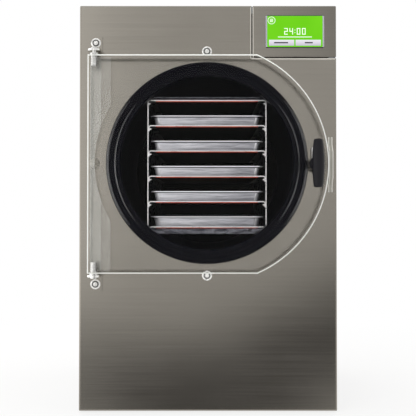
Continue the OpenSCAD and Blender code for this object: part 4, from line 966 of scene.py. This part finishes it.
def display_marks():
    """Two keys, a round menu sign, a clock and the bar of how far it has run, all a hair before the
    glass."""
    wide = glass_high.x - glass_low.x
    low, high = KEYS
    mid, key_mid = (glass_low.x + glass_high.x) / 2, (low + high) / 2
    gap, edge, thick, ink = 1.4 * MM, 3.6 * MM, 0.3 * MM, 0.1 * MM
    bm = bmesh.new()
    plate(bm, glass_low.x + edge, mid - gap, low, high, thick)
    plate(bm, mid + gap, glass_high.x - edge, low, high, thick)
    half_tall = 1.3 * MM
    for centre, half in ((mid - wide / 4, 14 * MM), (mid + wide / 4, 8 * MM)):
        plate(bm, centre - half, centre + half, key_mid - half_tall, key_mid + half_tall, ink, thick, 1)
    piece("display_keys", bm, [lit_button(), key_ink()])
    bm = bmesh.new()
    sign = Vector((glass_low.x + 8.7 * MM, glass_low.y, glass_high.z - 9.2 * MM))
    ring(bm, sign, 6.6 * MM, 7.6 * MM, thick)
    bmesh.ops.remove_doubles(bm, verts=bm.verts, dist=1e-7)
    half_wide, half_tall = 3.2 * MM, 0.6 * MM
    for k in (-1, 0, 1):
        z = sign.z + k * 2.5 * MM
        plate(bm, sign.x - half_wide, sign.x + half_wide, z - half_tall, z + half_tall, thick)
    clock(bm, mid, high + 10.5 * MM, thick)
    half_wide = 34 * MM
    plate(bm, mid - half_wide, mid + half_wide, high + 5 * MM, high + 6.4 * MM, thick)
    bmesh.ops.recalc_face_normals(bm, faces=bm.faces)
    piece("display_signs", bm, [lit_white()])


display_marks()


# ---- Stage ----

def seen_straight(tree):
    """1 for a ray that shows a surface itself: to the camera, in a reflection or through glass."""
    path = add(tree, "ShaderNodeLightPath").outputs
    seen = add(tree, "ShaderNodeMath", {0: path["Is Camera Ray"], 1: path["Is Glossy Ray"]},
               operation="MAXIMUM").outputs[0]
    return add(tree, "ShaderNodeMath", {0: seen, 1: path["Is Transmission Ray"]},
               operation="MAXIMUM").outputs[0]


def floor():
    """A plain pale floor that keeps the object's shadow and goes over into white further out. What glass and
    metal show passes it by, since the studio's wall reaches below it."""
    radius, pale_to, white_from = 4.0, 0.5, 1.6
    material, tree, shader = new_material("pale_floor", "#e9e8e6", 0.7)
    place = add(tree, "ShaderNodeTexCoord").outputs["Object"]
    away = add(tree, "ShaderNodeVectorMath", {0: place}, operation="LENGTH").outputs["Value"]
    white = add(tree, "ShaderNodeMapRange", {0: away, 1: pale_to, 2: white_from, 3: 0.8, 4: 1.0},
                interpolation_type="SMOOTHSTEP").outputs[0]
    share = add(tree, "ShaderNodeMath", {0: white, 1: seen_straight(tree)}, operation="MULTIPLY").outputs[0]
    glow = add(tree, "ShaderNodeEmission", {"Color": (1, 1, 1, 1), "Strength": 1.0})
    mixed = add(tree, "ShaderNodeMixShader", {0: share, 1: shader.outputs[0], 2: glow.outputs[0]})
    tree.links.new(mixed.outputs[0], tree.nodes["Material Output"].inputs["Surface"])
    bm = bmesh.new()
    bmesh.ops.create_circle(bm, cap_ends=True, segments=96, radius=radius)
    mesh = mesh_of(bm, "floor")
    mesh.materials.append(material)
    obj = linked("floor", mesh)
    obj.visible_glossy = obj.visible_transmission = False


def surroundings():
    """White where it is seen, plain where it lights."""
    world = bpy.data.worlds.new("studio")
    world.use_nodes = True
    bpy.context.scene.world = world
    tree = world.node_tree
    level = add(tree, "ShaderNodeMapRange", {0: seen_straight(tree), 3: 0.55, 4: 1.0})
    background = tree.nodes["Background"]
    background.inputs["Color"].default_value = (1, 1, 1, 1)
    tree.links.new(level.outputs[0], background.inputs["Strength"])


def studio_wall():
    """The studio's round wall, which only reflections see, also through the door: pale above, darker below
    and to the right, with a lit panel ahead at the left and a glow from the floor's far corners. Straight
    through glass it is plain white. Places are in metres, and a pair is where a light starts and is full."""
    radius, low, high = 4.2, -7.0, 8.0
    upper_part, corners = (-0.58, -0.2), (1.15, 1.8)
    panel_right, panel_left, panel_foot = (-0.66, -0.74), (-1.15, -0.95), (-0.25, 0.25)
    material = bpy.data.materials.new("studio_wall")
    material.use_nodes = True
    tree = material.node_tree
    tree.nodes.remove(tree.nodes["Principled BSDF"])
    x, y, z = split(tree)
    right = add(tree, "ShaderNodeMath", {0: x, 1: 0.0}, operation="MAXIMUM").outputs[0]
    tilt = add(tree, "ShaderNodeMath", {0: right, 1: -0.5, 2: z}, operation="MULTIPLY_ADD").outputs[0]
    level = add(tree, "ShaderNodeMapRange", {0: tilt, 1: upper_part[0], 2: upper_part[1]},
                interpolation_type="SMOOTHSTEP").outputs[0]
    inner = add(tree, "ShaderNodeMapRange",
                {0: x, 1: panel_right[0], 2: panel_right[1], 3: 0.0, 4: 0.8}).outputs[0]
    outer = add(tree, "ShaderNodeMapRange", {0: x, 1: panel_left[0], 2: panel_left[1]}).outputs[0]
    above = add(tree, "ShaderNodeMapRange", {0: z, 1: panel_foot[0], 2: panel_foot[1]}).outputs[0]
    ahead = add(tree, "ShaderNodeMath", {0: y, 1: 0.0}, operation="LESS_THAN").outputs[0]
    bounds = add(tree, "ShaderNodeMath", {0: outer, 1: above}, operation="MULTIPLY").outputs[0]
    bounds = add(tree, "ShaderNodeMath", {0: bounds, 1: ahead}, operation="MULTIPLY").outputs[0]
    lit = add(tree, "ShaderNodeMath", {0: inner, 1: bounds, 2: 0.73}, operation="MULTIPLY_ADD").outputs[0]
    aside = add(tree, "ShaderNodeMath", {0: x}, operation="ABSOLUTE").outputs[0]
    corner = add(tree, "ShaderNodeMath", {0: aside, 1: 0.8}, operation="MULTIPLY").outputs[0]
    corner = add(tree, "ShaderNodeMath", {0: corner, 1: z}, operation="SUBTRACT").outputs[0]
    low_glow = add(tree, "ShaderNodeMapRange", {0: corner, 1: corners[0], 2: corners[1], 3: 0.055, 4: 0.9},
                   interpolation_type="SMOOTHSTEP").outputs[0]
    both = add(tree, "ShaderNodeMath", {0: level, 1: lit, 2: low_glow}, operation="MULTIPLY_ADD").outputs[0]
    bounces = add(tree, "ShaderNodeLightPath").outputs["Glossy Depth"]
    mirrored = add(tree, "ShaderNodeMath", {0: bounces, 1: 0.5}, operation="GREATER_THAN").outputs[0]
    shown = add(tree, "ShaderNodeMix", {0: mirrored, 2: 1.0, 3: both}).outputs[0]
    glow = add(tree, "ShaderNodeEmission", {"Color": (1, 1, 1, 1), "Strength": shown})
    tree.links.new(glow.outputs[0], tree.nodes["Material Output"].inputs["Surface"])
    bm = bmesh.new()
    bmesh.ops.create_cone(bm, segments=96, radius1=radius, radius2=radius, depth=high - low,
                          matrix=Matrix.Translation((0, FRONT_Y, (low + high) / 2)))
    mesh = mesh_of(bm, "studio_wall")
    mesh.materials.append(material)
    obj = linked("studio_wall", mesh)
    for ray in ("camera", "diffuse", "shadow", "volume_scatter"):
        setattr(obj, "visible_" + ray, False)


def softbox(name, place, aim, size, power):
    """An area lamp, aimed at a point, which isn't seen itself: not directly, mirrored or through glass."""
    data = bpy.data.lights.new(name, "AREA")
    data.shape, data.size, data.size_y, data.energy = "RECTANGLE", size[0], size[1], power
    obj = bpy.data.objects.new(name, data)
    obj.location = place
    obj.rotation_euler = (Vector(aim) - Vector(place)).to_track_quat("-Z", "Y").to_euler()
    obj.visible_camera = obj.visible_glossy = obj.visible_transmission = False
    bpy.context.scene.collection.objects.link(obj)


floor()
surroundings()
studio_wall()
softbox("left_strip", (-2.3, -2.4, 0.75), (0, 0, 0.5), (0.5, 1.7), 16)
softbox("right_strip", (2.3, -2.2, 0.7), (0, 0, 0.5), (0.4, 1.6), 11)
softbox("key_lamp", (-1.2, -3.0, 2.8), (0, 0, 0.45), (1.6, 1.6), 40)
softbox("top_lamp", (0, 0.2, 2.6), (0, 0, 0.4), (1.8, 1.8), 30)
softbox("back_lamp", (-0.8, 3.0, 1.8), (0, 0, 0.4), (1.8, 1.8), 45)

bpy.context.scene.view_settings.view_transform = "Standard"
